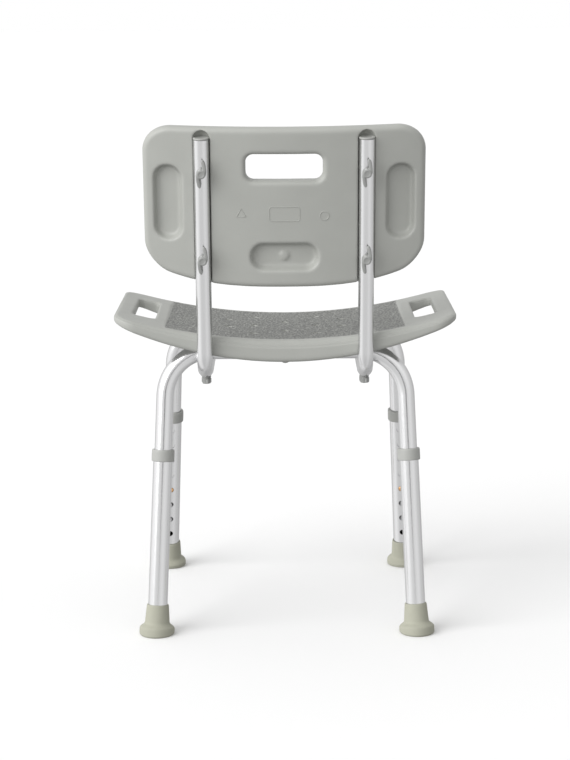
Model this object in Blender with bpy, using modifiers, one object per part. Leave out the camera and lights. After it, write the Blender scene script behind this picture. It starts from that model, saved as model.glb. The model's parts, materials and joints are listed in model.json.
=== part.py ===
"""A height-adjustable shower chair with a back, as an assembly of separate pieces.

Metres, +Z up. The sitter faces -Y, so the back stands at +Y; +X is the sitter's left. The origin
is on the floor, under the middle of the chair's bounding box. Everything is first placed in a
frame whose origin lies midway between the four feet, and the empty "chair" moves it from there.

Run it with: blender --background --python part.py
"""

import math

import bmesh
import bpy
from mathutils import Matrix, Vector

# --- Driving dimensions ---------------------------------------------------------------------------

TUBE_GAP = 0.0003  # running clearance between telescoping tubes
GAP = 0.0003  # clearance between pieces that touch
CROSSING_GAP = 0.0004  # clearance where the back arms cross under the rear leg frame

# Leg frames: one bent tube in front and one behind, each in a plane that leans outwards.
LEG_X = 0.1893  # leg axis at floor level, from the middle plane
LEG_Y = 0.1721
SIDE_SPLAY = math.radians(2.53)
FORE_AFT_SPLAY = math.radians(8.6)
FRAME_RUN_Z = 0.407  # axis of the straight run under the seat
FRAME_R = 0.0127
FRAME_WALL = 0.0012
FRAME_BEND_R = 0.068

# Lower legs: lengths along the leg axis, from the floor.
LEG_WALL = 0.0010
LEG_BOTTOM = 0.0100
LEG_TOP = 0.2665
HOLE_PITCH = 0.0254
HOLES_ABOVE_BUTTON = 4
HOLES_BELOW_BUTTON = 3
BUTTON_HEIGHT = 0.1378
BUTTON_CLEARANCE = 0.0004  # between a button and its holes
FRAME_PAST_BUTTON = 0.0163  # from the button down to the lower end of the frame tube

COLLAR_WALL = 0.0025
COLLAR_HEIGHT = 0.0172
COLLAR_LIP = 0.0022
COLLAR_EDGE = 0.0010

FOOT_FLANGE_R = 0.0255
FOOT_FLANGE_HEIGHT = 0.0060
FOOT_FLARE_HEIGHT = 0.0165
FOOT_LOW_WALL = 0.0038
FOOT_TOP_WALL = 0.0020
FOOT_HEIGHT = 0.0430
FOOT_EDGE = 0.0010
FOOT_SHOULDER = 0.0020

BUTTON_R = 0.0039
BUTTON_FLANGE_LIP = 0.0003  # how far its flange reaches past the hole's edge
BUTTON_FLANGE = 0.0013
BUTTON_PROUD = 0.0012  # how far the tip stands out of the lower tube
BUTTON_DOME = 0.0020  # height of its rounded end
SPRING_WIDTH = 0.0060
SPRING_SHEET = 0.0008
SPRING_LENGTH = 0.0300
SPRING_BEND_R = 0.0025

# Back arms: a J in the plane x = +-ARM_X, the run under the seat and the post behind the back.
ARM_X = 0.1143
ARM_R = 0.0111
ARM_WALL = 0.0012
ARM_BEND_R = 0.035
ARM_FRONT_Y = -0.060
POST_BEHIND_SEAT = 0.0070  # from the seat's rear edge to the post's axis at the height POST_Z
POST_OVER_RUN = 0.0080  # POST_Z is this much higher than the leg frames' runs
POST_TOP = 0.3045  # along the post, from that point
RECLINE = math.radians(6.5)
PLUG_CAP = 0.0025
PLUG_STEM = 0.0120
PLUG_EDGE = 0.0008

# Seat.
SEAT_WIDTH = 0.492
SEAT_REAR_OVERHANG = 0.0395  # past the axis of the rear leg frame's run
SEAT_FRONT_OVERHANG = 0.0165
SEAT_CORNER_R = 0.032
SEAT_OVER_FRAME = 0.0083  # from the top of the frame tubes to the seat's top, in the middle
SEAT_DEPTH = 0.032  # thickness in the middle
SEAT_END_DEPTH = 0.0124  # thickness at its two ends
SEAT_SWEEP_R = 0.830  # the top rises towards both ends along this radius
SEAT_EDGE_R = 0.0050
SEAT_INSETS = (0.075, 0.040)  # how far in from the edge its faces are divided, to follow its curves
WATERFALL_START_Y = -0.020
WATERFALL_DROP = 0.0050
HANDLE_INSET = 0.0400  # from the seat's end to the middle of a handle hole
HANDLE_Y = 0.0100
HANDLE_SIZE = (0.032, 0.147)
HANDLE_CORNER_R = 0.009
DRAIN_R = 0.0055
DRAIN_COLUMNS = ((0.0, (-0.022, 0.058)), (0.046, (-0.065, 0.015, 0.085)), (0.084, (-0.025, 0.038)))
BOSS_R = 0.0125
BOSS_GAP = 0.0006  # between an arm and the boss above it
FRAME_CHANNEL_GAP = 0.0006  # between a leg frame and its channel in the seat
SADDLE_GAP = 0.0009  # between an arm and its notch in the seat's rear edge
FRAME_CHANNEL_BEND = 0.70  # share of the bend's radius that the channels follow outwards

# Back panel: heights along the post from POST_Z, depths square to it, positive to the rear.
BACK_WIDTH = 0.394
BACK_TOP = 0.3205
BACK_BOTTOM = 0.0950
BACK_BOW = 0.032  # the bottom edge rises by this much at the panel's sides
BACK_THICKNESS = 0.024
BACK_REAR_AT_POST = 0.0010
BACK_SWEEP_R = 0.700
BACK_TOP_CORNER_R = 0.040
BACK_BOTTOM_CORNER_R = 0.036
BACK_EDGE_R = 0.0070
CHANNEL_GAP = 0.0009
CHANNEL_PAST_POST = 0.0100
SLOT_SIZE = (0.107, 0.037)
SLOT_CORNER_R = 0.011
SLOT_HEIGHT = 0.2655
SLOT_RIM = 0.006
POCKET_DEPTH = 0.0100
SIDE_POCKET_INSET = 0.0350  # from the panel's side to the middle of the pocket
SIDE_POCKET_HEIGHT = 0.2145
SIDE_POCKET_FLOOR = (0.027, 0.093)
SIDE_POCKET_RIM = 0.0085
LOW_POCKET_HEIGHT = 0.1395
LOW_POCKET_FLOOR = (0.080, 0.024)
LOW_POCKET_RIM = 0.0100

# Wing screws.
STUD_R = 0.0030
STUD_CLEARANCE = 0.0004  # between a stud and the holes through the tubes
KNOB_R = 0.0068
KNOB_HEIGHT = 0.0120
KNOB_TOP = 0.0030  # plastic over the end of the stud
WING_REACH = 0.0168
WING_OFFSET = 0.0044
WING_TIP_OFFSET = 0.0022
WING_ROOT_R = 0.0024
WING_TIP_R = 0.0029
WING_BOTTOM = 0.0022
WING_TOP = 0.0108
KNOB_EDGE = 0.0012
INSERT_WALL = 0.0015
INSERT_LENGTH = 0.0065
MIDDLE_SCREW_Y = -0.040
FRONT_SCREW_X = 0.085
UPPER_BACK_SCREW = 0.2597  # along the post, from POST_Z
LOWER_BACK_SCREW = 0.1369

# Facets.
TUBE_BEVEL = 6  # Blender's bevel resolution: 4 + 2 x 6 = 16 sides
TUBE_SIDES = 16
SMALL_SIDES = 12
BEND_STEPS = 6
CHANNEL_STEPS = 6
WING_STEPS = 4
SEAT_FACET = 0.041  # length of the seat's facets across the chair

# --- Sizes worked out from these ------------------------------------------------------------------

FRAME_END = BUTTON_HEIGHT - FRAME_PAST_BUTTON  # along the leg axis, from the floor
AXIS_COS = 1 / math.sqrt(1 + math.tan(SIDE_SPLAY) ** 2 + math.tan(FORE_AFT_SPLAY) ** 2)
FRAME_RUN_Y = LEG_Y - FRAME_RUN_Z * math.tan(FORE_AFT_SPLAY)
LEG_INNER_R = FRAME_R + TUBE_GAP
LEG_R = LEG_INNER_R + LEG_WALL
HOLE_R = BUTTON_R + BUTTON_CLEARANCE
BUTTON_FLANGE_R = HOLE_R + BUTTON_FLANGE_LIP
COLLAR_R = LEG_R + COLLAR_WALL
FOOT_SLEEVE_LOW_R = LEG_R + FOOT_LOW_WALL
FOOT_SLEEVE_TOP_R = LEG_R + FOOT_TOP_WALL
SEAT_TOP_Z = FRAME_RUN_Z + FRAME_R + SEAT_OVER_FRAME  # in the middle
SEAT_REAR_Y = FRAME_RUN_Y + SEAT_REAR_OVERHANG
SEAT_FRONT_Y = -FRAME_RUN_Y - SEAT_FRONT_OVERHANG
SEAT_MID_Y = (SEAT_REAR_Y + SEAT_FRONT_Y) / 2
HANDLE_X = SEAT_WIDTH / 2 - HANDLE_INSET
POST_Y = SEAT_REAR_Y + POST_BEHIND_SEAT
POST_Z = FRAME_RUN_Z + POST_OVER_RUN
SIDE_POCKET_X = BACK_WIDTH / 2 - SIDE_POCKET_INSET
BACK_REAR_MIDDLE = BACK_REAR_AT_POST + ARM_X**2 / (2 * BACK_SWEEP_R)
STUD_IN_KNOB = KNOB_HEIGHT - KNOB_TOP
TUBE_HOLE_R = STUD_R + STUD_CLEARANCE
INSERT_R = STUD_R + INSERT_WALL
WELD = 0.00001
LEAST_CORNER_R = 0.003

ENDS = {"front": -1, "rear": 1}
SIDES = {"left": 1, "right": -1}


# --- Scene helpers --------------------------------------------------------------------------------


def clear_scene():
    for obj in list(bpy.data.objects):
        bpy.data.objects.remove(obj, do_unlink=True)


def new_collection(name):
    collection = bpy.data.collections.new(name)
    bpy.context.scene.collection.children.link(collection)
    return collection


def plain_material(name, colour, roughness, metallic=0.0):
    material = bpy.data.materials.new(name)
    material.use_nodes = True
    shader = material.node_tree.nodes["Principled BSDF"]
    shader.inputs["Base Color"].default_value = (*colour, 1.0)
    shader.inputs["Roughness"].default_value = roughness
    shader.inputs["Metallic"].default_value = metallic
    material.diffuse_color = (*colour, 1.0)
    return material


def empty(name, matrix=None, parent=None):
    obj = bpy.data.objects.new(name, None)
    obj.empty_display_size = 0.02
    PARTS.objects.link(obj)
    obj.parent = parent
    obj.matrix_basis = matrix or Matrix.Identity(4)
    return obj


def add(name, data, material=None, matrix=None, parent=None):
    """A named piece. Its matrix is in its parent's frame, or in the chair's."""
    obj = bpy.data.objects.new(name, data)
    PARTS.objects.link(obj)
    obj.parent = parent or CHAIR
    obj.matrix_basis = matrix or Matrix.Identity(4)
    if material:
        data.materials.clear()
        data.materials.append(material)
    return obj


def as_cutter(obj):
    PARTS.objects.unlink(obj)
    CUTTERS.objects.link(obj)
    obj.hide_render = True
    obj.display_type = "WIRE"
    return obj


def evaluated_mesh(obj, name):
    """The mesh that an object's curve or modifiers make, with loose seams welded."""
    bpy.context.view_layer.update()
    graph = bpy.context.evaluated_depsgraph_get()
    mesh = bpy.data.meshes.new_from_object(obj.evaluated_get(graph))
    mesh.name = name
    shape = bmesh.new()
    shape.from_mesh(mesh)
    bmesh.ops.remove_doubles(shape, verts=shape.verts, dist=WELD)
    shape.to_mesh(mesh)
    shape.free()
    return mesh


def made_mesh(obj):
    """Replaces a curve, or a mesh with modifiers, by a plain mesh object in its place."""
    name, parent, matrix = obj.name, obj.parent, obj.matrix_basis.copy()
    materials = list(obj.data.materials)
    mesh = evaluated_mesh(obj, name)
    bpy.data.objects.remove(obj, do_unlink=True)
    return add(name, mesh, materials[0] if materials else None, matrix, parent)


def boolean(obj, other, operation="DIFFERENCE", solver="EXACT"):
    modifier = obj.modifiers.new(f"{operation.lower()} {other.name}", "BOOLEAN")
    modifier.object = other
    modifier.operation = operation
    modifier.solver = solver


def shade_round(obj, angle=math.radians(40)):
    obj.data.shade_smooth()
    obj.data.set_sharp_from_angle(angle=angle)


# --- Shape helpers --------------------------------------------------------------------------------


def mesh_from(shape, name):
    mesh = bpy.data.meshes.new(name)
    shape.to_mesh(mesh)
    shape.free()
    return mesh


def add_cylinder(shape, radius, low, high, place=None, sides=SMALL_SIDES):
    """A cylinder along local Z between two heights, with a flat and not a corner towards X."""
    half_facet = Matrix.Rotation(math.pi / sides, 4, "Z")
    middle = Matrix.Translation((0, 0, (low + high) / 2))
    bmesh.ops.create_cone(
        shape,
        cap_ends=True,
        segments=sides,
        radius1=radius,
        radius2=radius,
        depth=high - low,
        matrix=(place or Matrix.Identity(4)) @ middle @ half_facet,
    )


def cylinder_mesh(name, radius, low, high, sides=SMALL_SIDES):
    shape = bmesh.new()
    add_cylinder(shape, radius, low, high, sides=sides)
    return mesh_from(shape, name)


def turned_mesh(name, profile, sides=TUBE_SIDES, ring=False):
    """A turned piece from its (radius, height) outline, outer side top to bottom, as a plain mesh."""
    shape = bmesh.new()
    points = [shape.verts.new((radius, 0, height)) for radius, height in profile]
    for first, second in zip(points, points[1:]):
        shape.edges.new((first, second))
    if ring:
        shape.edges.new((points[-1], points[0]))
    obj = add(name + "_profile", mesh_from(shape, name))
    screw = obj.modifiers.new("turn", "SCREW")
    screw.axis = "Z"
    screw.steps = sides
    screw.render_steps = sides
    screw.use_merge_vertices = True
    screw.merge_threshold = WELD
    mesh = evaluated_mesh(obj, name)
    bpy.data.objects.remove(obj, do_unlink=True)
    return mesh


def rounded_path(corners, steps=BEND_STEPS):
    """Points along straight runs joined by arcs. Each corner is (point, bend radius)."""
    path = [Vector(corners[0][0])]
    for (before, _), (corner, radius), (after, _) in zip(corners, corners[1:], corners[2:]):
        corner = Vector(corner)
        back = (Vector(before) - corner).normalized()
        onward = (Vector(after) - corner).normalized()
        half = back.angle(onward) / 2
        centre = corner + (back + onward).normalized() * radius / math.sin(half)
        first = corner + back * radius / math.tan(half) - centre
        last = corner + onward * radius / math.tan(half) - centre
        axis, turn = first.cross(last), first.angle(last)
        for step in range(steps + 1):
            path.append(centre + Matrix.Rotation(turn * step / steps, 3, axis) @ first)
    return path + [Vector(corners[-1][0])]


def path_curve(name, path, radius=0.0, caps=False, half_width=0.0):
    """A curve along points: a round bar, or with half_width a flat strip across local Z."""
    curve = bpy.data.curves.new(name, "CURVE")
    curve.dimensions = "3D"
    curve.twist_mode = "Z_UP"
    curve.bevel_depth = radius
    curve.bevel_resolution = TUBE_BEVEL
    curve.use_fill_caps = caps
    curve.extrude = half_width
    spline = curve.splines.new("POLY")
    spline.points.add(len(path) - 1)
    for point, place in zip(spline.points, path):
        point.co = (*place, 1)
    return curve


def bar(name, path, radius, matrix):
    """A solid round bar, for cutters."""
    return made_mesh(add(name, path_curve(name, path, radius, caps=True), None, matrix))


def tube(name, path, radius, wall, material, matrix):
    """A hollow bent tube, open at both ends."""
    obj = add(name, path_curve(name, path, radius), material, matrix)
    shell = obj.modifiers.new("wall", "SOLIDIFY")
    shell.thickness = wall
    shell.offset = -1
    return made_mesh(obj)


def rounded_half(half_x, half_y, radius, arc_steps, side_steps):
    """The upper half of a rounded rectangle, from its right side over the top to its left side."""
    radius = min(max(radius, LEAST_CORNER_R), half_x - WELD, half_y - WELD)
    turn = [math.pi / 2 * step / arc_steps for step in range(arc_steps + 1)]
    right = [
        (half_x - radius + radius * math.cos(t), half_y - radius + radius * math.sin(t)) for t in turn
    ]
    span = 2 * (half_x - radius)
    top = [(half_x - radius - span * step / side_steps, half_y) for step in range(1, side_steps)]
    left = [(-x, y) for x, y in reversed(right)]
    return right + top + left


def rounded_outline(half_x, half_y, upper_r, lower_r, arc_steps, side_steps):
    """A closed outline: the upper half, then the lower one back. Point i faces point -1-i across it."""
    upper = rounded_half(half_x, half_y, upper_r, arc_steps, side_steps)
    lower = rounded_half(half_x, half_y, lower_r, arc_steps, side_steps)
    return upper + [(x, -y) for x, y in reversed(lower)]


def ringed_mesh(name, rings):
    """A closed body through a stack of outlines, its first and last ones filled across."""
    shape = bmesh.new()
    loops = [[shape.verts.new(point) for point in ring] for ring in rings]
    count = len(loops[0])
    for near, far in zip(loops, loops[1:]):
        for i in range(count):
            j = (i + 1) % count
            shape.faces.new((near[i], far[i], far[j], near[j]))
    for loop in (loops[0], loops[-1]):
        for i in range(count // 2 - 1):
            shape.faces.new((loop[i], loop[i + 1], loop[count - 2 - i], loop[count - 1 - i]))
    bmesh.ops.recalc_face_normals(shape, faces=shape.faces)
    return mesh_from(shape, name)


def edge_levels(radius, steps=4):
    """(inset, depth) pairs round a quarter edge, from the face to the side."""
    turn = [math.pi / 2 * step / steps for step in range(steps + 1)]
    return [(radius * (1 - math.sin(t)), radius * (1 - math.cos(t))) for t in turn]


def slab_mesh(name, half, corners, edge_r, place, steps, inner_insets=()):
    """A panel with rounded corners and edges. place(x, y, face, depth) bends it into its shape."""
    levels = [(inset, 0.0) for inset in inner_insets] + edge_levels(edge_r)
    sides = [("top", *level) for level in levels] + [("bottom", *level) for level in reversed(levels)]
    rings = []
    for face, inset, depth in sides:
        outline = rounded_outline(
            half[0] - inset, half[1] - inset, corners[0] - inset, corners[1] - inset, *steps
        )
        rings.append([place(x, y, face, depth) for x, y in outline])
    return ringed_mesh(name, rings)


def pocket_mesh(name, floor, rim, corner_r, depth):
    """A cutter for a recess with sloping sides: floor size, growth to the rim, and depth below z 0."""
    half_x, half_y = floor[0] / 2, floor[1] / 2
    levels = [(0.0, -depth), (rim * 0.35, -depth * 0.55), (rim, 0.0), (rim, BACK_THICKNESS)]
    rings = []
    for grow, height in levels:
        outline = rounded_outline(half_x + grow, half_y + grow, corner_r + grow, corner_r + grow, 5, 1)
        rings.append([(x, y, height) for x, y in outline])
    return ringed_mesh(name, rings)


def prism_mesh(name, size, corner_r, low, high):
    """A straight rounded-rectangle cutter along local Z."""
    outline = rounded_outline(size[0] / 2, size[1] / 2, corner_r, corner_r, 4, 1)
    return ringed_mesh(name, [[(x, y, height) for x, y in outline] for height in (low, high)])


def arch(half_width, bottom, leg_top, steps=6):
    """A U-shaped section as (across, height) points, mirrored so that point i faces point -1-i."""
    turn = [math.pi / 2 * (step + 0.5) / steps for step in range(steps)]
    right = [(half_width * math.sin(t), bottom * math.cos(t)) for t in turn]
    right += [(half_width, 0), (half_width, leg_top)]
    return right + [(-across, height) for across, height in reversed(right)]


# --- Frames of reference --------------------------------------------------------------------------


def leg_matrix(side, end):
    """Z up the leg's axis from the floor, Y the way its holes face, square to the frame's plane."""
    up = Vector((-side * math.tan(SIDE_SPLAY), -end * math.tan(FORE_AFT_SPLAY), 1)).normalized()
    facing = Vector((0, -end * math.cos(FORE_AFT_SPLAY), -math.sin(FORE_AFT_SPLAY)))
    across = facing.cross(up)
    turn = Matrix((across, facing, up)).transposed().to_4x4()
    return Matrix.Translation((side * LEG_X, end * LEG_Y, 0)) @ turn


def frame_matrix(end):
    """The plane of a leg frame: X across the chair, Y up the leaning plane, from the floor."""
    up = Vector((0, -end * math.sin(FORE_AFT_SPLAY), math.cos(FORE_AFT_SPLAY)))
    across = Vector((1, 0, 0))
    turn = Matrix((across, up, across.cross(up))).transposed().to_4x4()
    return Matrix.Translation((0, end * LEG_Y, 0)) @ turn


def arm_matrix(side):
    """The plane of a back arm: X to the rear, Y up."""
    turn = Matrix(((0, 1, 0), (0, 0, 1), (1, 0, 0))).transposed().to_4x4()
    return Matrix.Translation((side * ARM_X, 0, 0)) @ turn


def back_matrix():
    """The back's frame: X to the sitter's right, Y up the posts, Z to the rear."""
    up = Vector((0, math.sin(RECLINE), math.cos(RECLINE)))
    rear = Vector((0, math.cos(RECLINE), -math.sin(RECLINE)))
    turn = Matrix((Vector((-1, 0, 0)), up, rear)).transposed().to_4x4()
    return Matrix.Translation((0, POST_Y, POST_Z)) @ turn


# --- Routes and surfaces --------------------------------------------------------------------------


def frame_path():
    """Centre line of a leg frame, in its plane."""
    low = FRAME_END * AXIS_COS
    low_x = LEG_X - low * math.tan(SIDE_SPLAY)
    top_x = LEG_X - FRAME_RUN_Z * math.tan(SIDE_SPLAY)
    low_y = low / math.cos(FORE_AFT_SPLAY)
    top_y = FRAME_RUN_Z / math.cos(FORE_AFT_SPLAY)
    return rounded_path(
        [
            ((-low_x, low_y, 0), 0),
            ((-top_x, top_y, 0), FRAME_BEND_R),
            ((top_x, top_y, 0), FRAME_BEND_R),
            ((low_x, low_y, 0), 0),
        ]
    )


def frame_bend_x():
    """Where the frame's straight run ends and its bend begins."""
    lean = math.atan(math.tan(SIDE_SPLAY) * math.cos(FORE_AFT_SPLAY))
    corner_x = LEG_X - FRAME_RUN_Z * math.tan(SIDE_SPLAY)
    return corner_x - FRAME_BEND_R * math.tan((math.pi / 2 - lean) / 2)


def frame_drop(x, outward=0.0):
    """How far the frame tube has bent down at x, on its axis or this much outside or inside it."""
    radius = FRAME_BEND_R + outward
    past = min(max(abs(x) - frame_bend_x(), 0), radius)
    return radius - math.sqrt(radius**2 - past**2)


def arm_run_height():
    """Axis height of the arms' runs, just clear of the rear leg frame that crosses over them."""
    across = [ARM_R * step / 10 for step in range(10)]
    needed = [frame_drop(ARM_X + d, -FRAME_R) + math.sqrt(ARM_R**2 - d**2) for d in across]
    return FRAME_RUN_Z - FRAME_R - max(needed) - CROSSING_GAP


ARM_RUN_Z = arm_run_height()


def arm_path():
    """Centre line of a back arm, in its plane."""
    foot_y = POST_Y - (POST_Z - ARM_RUN_Z) * math.tan(RECLINE)
    return rounded_path(
        [
            ((ARM_FRONT_Y, ARM_RUN_Z, 0), 0),
            ((foot_y, ARM_RUN_Z, 0), ARM_BEND_R),
            ((POST_Y + POST_TOP * math.sin(RECLINE), POST_Z + POST_TOP * math.cos(RECLINE), 0), 0),
        ]
    )


def seat_top(x, y):
    """The seat's top rises to both ends, and falls away a little over its front part."""
    past = max(WATERFALL_START_Y - y, 0) / (WATERFALL_START_Y - SEAT_FRONT_Y)
    return SEAT_TOP_Z + x * x / (2 * SEAT_SWEEP_R) - WATERFALL_DROP * past**2


def seat_bottom(x):
    """The seat thins out from its middle to its two ends."""
    depth = SEAT_DEPTH - (SEAT_DEPTH - SEAT_END_DEPTH) * (2 * x / SEAT_WIDTH) ** 2
    return SEAT_TOP_Z + x * x / (2 * SEAT_SWEEP_R) - depth


def place_on_seat(x, y, face, depth):
    y += SEAT_MID_Y
    if face == "top":
        return (x, y, seat_top(x, y) - depth)
    return (x, y, seat_bottom(x) + depth)


def back_rear(x):
    """Depth of the back panel's rear face: its middle lies furthest to the rear."""
    return BACK_REAR_MIDDLE - x * x / (2 * BACK_SWEEP_R)


def place_on_back(x, y, face, depth):
    """Bows the bottom edge down in the middle, and bends the panel round the sitter."""
    half = (BACK_TOP - BACK_BOTTOM) / 2
    share = (half - y) / (2 * half)
    rise = BACK_BOW * abs(2 * x / BACK_WIDTH) ** 3
    height = (BACK_TOP + BACK_BOTTOM) / 2 + y + share * rise
    if face == "top":
        return (x, height, back_rear(x) - depth)
    return (x, height, back_rear(x) - BACK_THICKNESS + depth)


# --- Wing screws ----------------------------------------------------------------------------------


def over_frame(x):
    """Where an insert starts above the frame tube, which bends down under its inner side."""
    clear = FRAME_R + FRAME_CHANNEL_GAP + GAP
    return FRAME_RUN_Z + clear - frame_drop(x - INSERT_R, FRAME_R)


def seat_screws():
    """name: (matrix with Z down out of the knob's base, height from there up to the insert)."""
    under_arm = ARM_RUN_Z - ARM_R - GAP
    under_frame = FRAME_RUN_Z - FRAME_R - GAP
    in_boss = ARM_RUN_Z + ARM_R + BOSS_GAP + GAP
    rows = {
        "rear": (ARM_X, FRAME_RUN_Y, under_arm, over_frame(ARM_X)),
        "middle": (ARM_X, MIDDLE_SCREW_Y, under_arm, in_boss),
        "front": (FRONT_SCREW_X, -FRAME_RUN_Y, under_frame, over_frame(FRONT_SCREW_X)),
    }
    downward = Matrix.Rotation(math.pi, 4, "X")
    screws = {}
    for row, (x, y, base, insert_z) in rows.items():
        for name, side in SIDES.items():
            place = Matrix.Translation((side * x, y, base)) @ downward
            screws[f"seat_{row}_{name}"] = (place, insert_z - base)
    return screws


def back_screws():
    screws = {}
    for side_name, side in SIDES.items():
        for level, height in (("upper", UPPER_BACK_SCREW), ("lower", LOWER_BACK_SCREW)):
            base = ARM_R + GAP
            matrix = back_matrix() @ Matrix.Translation((-side * ARM_X, height, base))
            screws[f"back_{level}_{side_name}"] = (matrix, base + ARM_R + CHANNEL_GAP + GAP)
    return screws


def wing_mesh():
    """One wing, standing off the hub's side like a propeller blade."""
    root, tip = Vector((WING_OFFSET, 0)), Vector((WING_TIP_OFFSET, WING_REACH))
    along = math.atan2(*reversed(tip - root))
    lean = math.asin((WING_ROOT_R - WING_TIP_R) / (tip - root).length)
    outline = []
    for centre, radius, start, sweep in (
        (tip, WING_TIP_R, along - math.pi / 2 + lean, math.pi - 2 * lean),
        (root, WING_ROOT_R, along + math.pi / 2 - lean, math.pi + 2 * lean),
    ):
        for step in range(WING_STEPS + 1):
            turn = start + sweep * step / WING_STEPS
            outline.append((centre.x + radius * math.cos(turn), centre.y + radius * math.sin(turn)))
    curve = bpy.data.curves.new("wing", "CURVE")
    curve.dimensions = "2D"
    curve.fill_mode = "BOTH"
    curve.extrude = (WING_TOP - WING_BOTTOM) / 2
    spline = curve.splines.new("POLY")
    spline.use_cyclic_u = True
    spline.points.add(len(outline) - 1)
    for point, place in zip(spline.points, outline):
        point.co = (*place, 0, 1)
    return curve


def knob_mesh():
    """The wing screw's moulded head, with a blind bore for its stud."""
    hub = add("wing_knob", turned_mesh("hub", knob_profile(), SMALL_SIDES))
    lift = Matrix.Translation((0, 0, (WING_TOP + WING_BOTTOM) / 2))
    for turn in (0, math.pi):
        wing = add(f"wing_{turn:.0f}", wing_mesh(), None, lift @ Matrix.Rotation(turn, 4, "Z"))
        boolean(hub, as_cutter(made_mesh(wing)), "UNION")
    bore = cylinder_mesh("knob_bore", STUD_R + GAP, -GAP, STUD_IN_KNOB + GAP)
    boolean(hub, as_cutter(add("knob_bore", bore)))
    mesh = evaluated_mesh(hub, "wing_knob")
    bpy.data.objects.remove(hub, do_unlink=True)
    return mesh


def knob_profile():
    """The hub: a drum with a chamfered top and a slightly wider base."""
    return [
        (0, KNOB_HEIGHT),
        (KNOB_R - 2 * KNOB_EDGE, KNOB_HEIGHT),
        (KNOB_R - KNOB_EDGE, KNOB_HEIGHT - KNOB_EDGE),
        (KNOB_R - KNOB_EDGE / 2, WING_BOTTOM),
        (KNOB_R, WING_BOTTOM - KNOB_EDGE / 2),
        (KNOB_R, 0),
        (0, 0),
    ]


def insert_mesh():
    bore = STUD_R + GAP
    profile = [(INSERT_R, 0), (INSERT_R, -INSERT_LENGTH), (bore, -INSERT_LENGTH), (bore, 0)]
    return turned_mesh("insert", profile, SMALL_SIDES, ring=True)


def make_screws(screws, knob, insert, steel, plastic, brass):
    """Each screw's knob and stud turn about the same empty; its insert stays in the panel."""
    knob.materials.clear()
    knob.materials.append(plastic)
    insert.materials.append(brass)
    for name, (matrix, to_insert) in screws.items():
        axis = empty(f"{name}_screw_axis", matrix, CHAIR)
        shade_round(add(f"{name}_wing_knob", knob, None, None, axis))
        stud_end = to_insert + INSERT_LENGTH - GAP
        stud = cylinder_mesh("stud", STUD_R, -stud_end, STUD_IN_KNOB)
        shade_round(add(f"{name}_stud", stud, steel, None, axis))
        place = matrix @ Matrix.Translation((0, 0, -to_insert))
        shade_round(add(f"{name}_insert", insert, None, place))


def insert_cutters(screws):
    """Bores for the inserts, each long enough to open into the channel or face it starts from."""
    cutters = []
    for name, (matrix, to_insert) in screws.items():
        low, high = -to_insert - INSERT_LENGTH - GAP, -to_insert + INSERT_R
        bore = cylinder_mesh("insert_bore", INSERT_R + GAP, low, high)
        cutters.append(as_cutter(add(f"{name}_bore", bore, None, matrix)))
    return cutters


def tube_hole_cutters(screws):
    cutters = []
    for name, (matrix, to_insert) in screws.items():
        hole = cylinder_mesh("tube_hole", TUBE_HOLE_R, -to_insert - INSERT_LENGTH, STUD_IN_KNOB)
        cutters.append(as_cutter(add(f"{name}_hole", hole, None, matrix)))
    return cutters


# --- Seat and back --------------------------------------------------------------------------------


def drain_cutter():
    shape = bmesh.new()
    reach = 2 * SEAT_DEPTH
    for column, rows in DRAIN_COLUMNS:
        for x in sorted({column, -column}):
            for y in rows:
                place = Matrix.Translation((x, y, SEAT_TOP_Z))
                add_cylinder(shape, DRAIN_R, -reach, reach, place)
    return as_cutter(add("drain_holes", mesh_from(shape, "drain_holes")))


def handle_cutters():
    hole = prism_mesh("handle_hole", HANDLE_SIZE, HANDLE_CORNER_R, -2 * SEAT_DEPTH, 3 * SEAT_DEPTH)
    return [
        as_cutter(
            add(f"handle_{name}", hole, None, Matrix.Translation((side * HANDLE_X, HANDLE_Y, SEAT_TOP_Z)))
        )
        for name, side in SIDES.items()
    ]


def frame_channel_cutters():
    """The seat's underside is channelled for both leg frames and their bends, open downwards."""
    radius = FRAME_R + FRAME_CHANNEL_GAP
    bend = FRAME_CHANNEL_BEND * FRAME_BEND_R
    stations = [frame_bend_x() + bend * step / CHANNEL_STEPS for step in range(CHANNEL_STEPS + 1)]
    cutters = []
    for name, end in ENDS.items():
        rings = []
        for x in [-x for x in reversed(stations)] + stations:
            drop = frame_drop(x)
            y = end * (FRAME_RUN_Y + drop * math.tan(FORE_AFT_SPLAY))
            z = FRAME_RUN_Z - drop
            rise = radius + drop - frame_drop(x, radius)
            section = arch(radius, rise, -2 * SEAT_DEPTH)
            rings.append([(x, y + across, z + height) for across, height in section])
        channel = ringed_mesh(f"{name}_channel", rings)
        cutters.append(as_cutter(add(f"{name}_channel", channel)))
    return cutters


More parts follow.
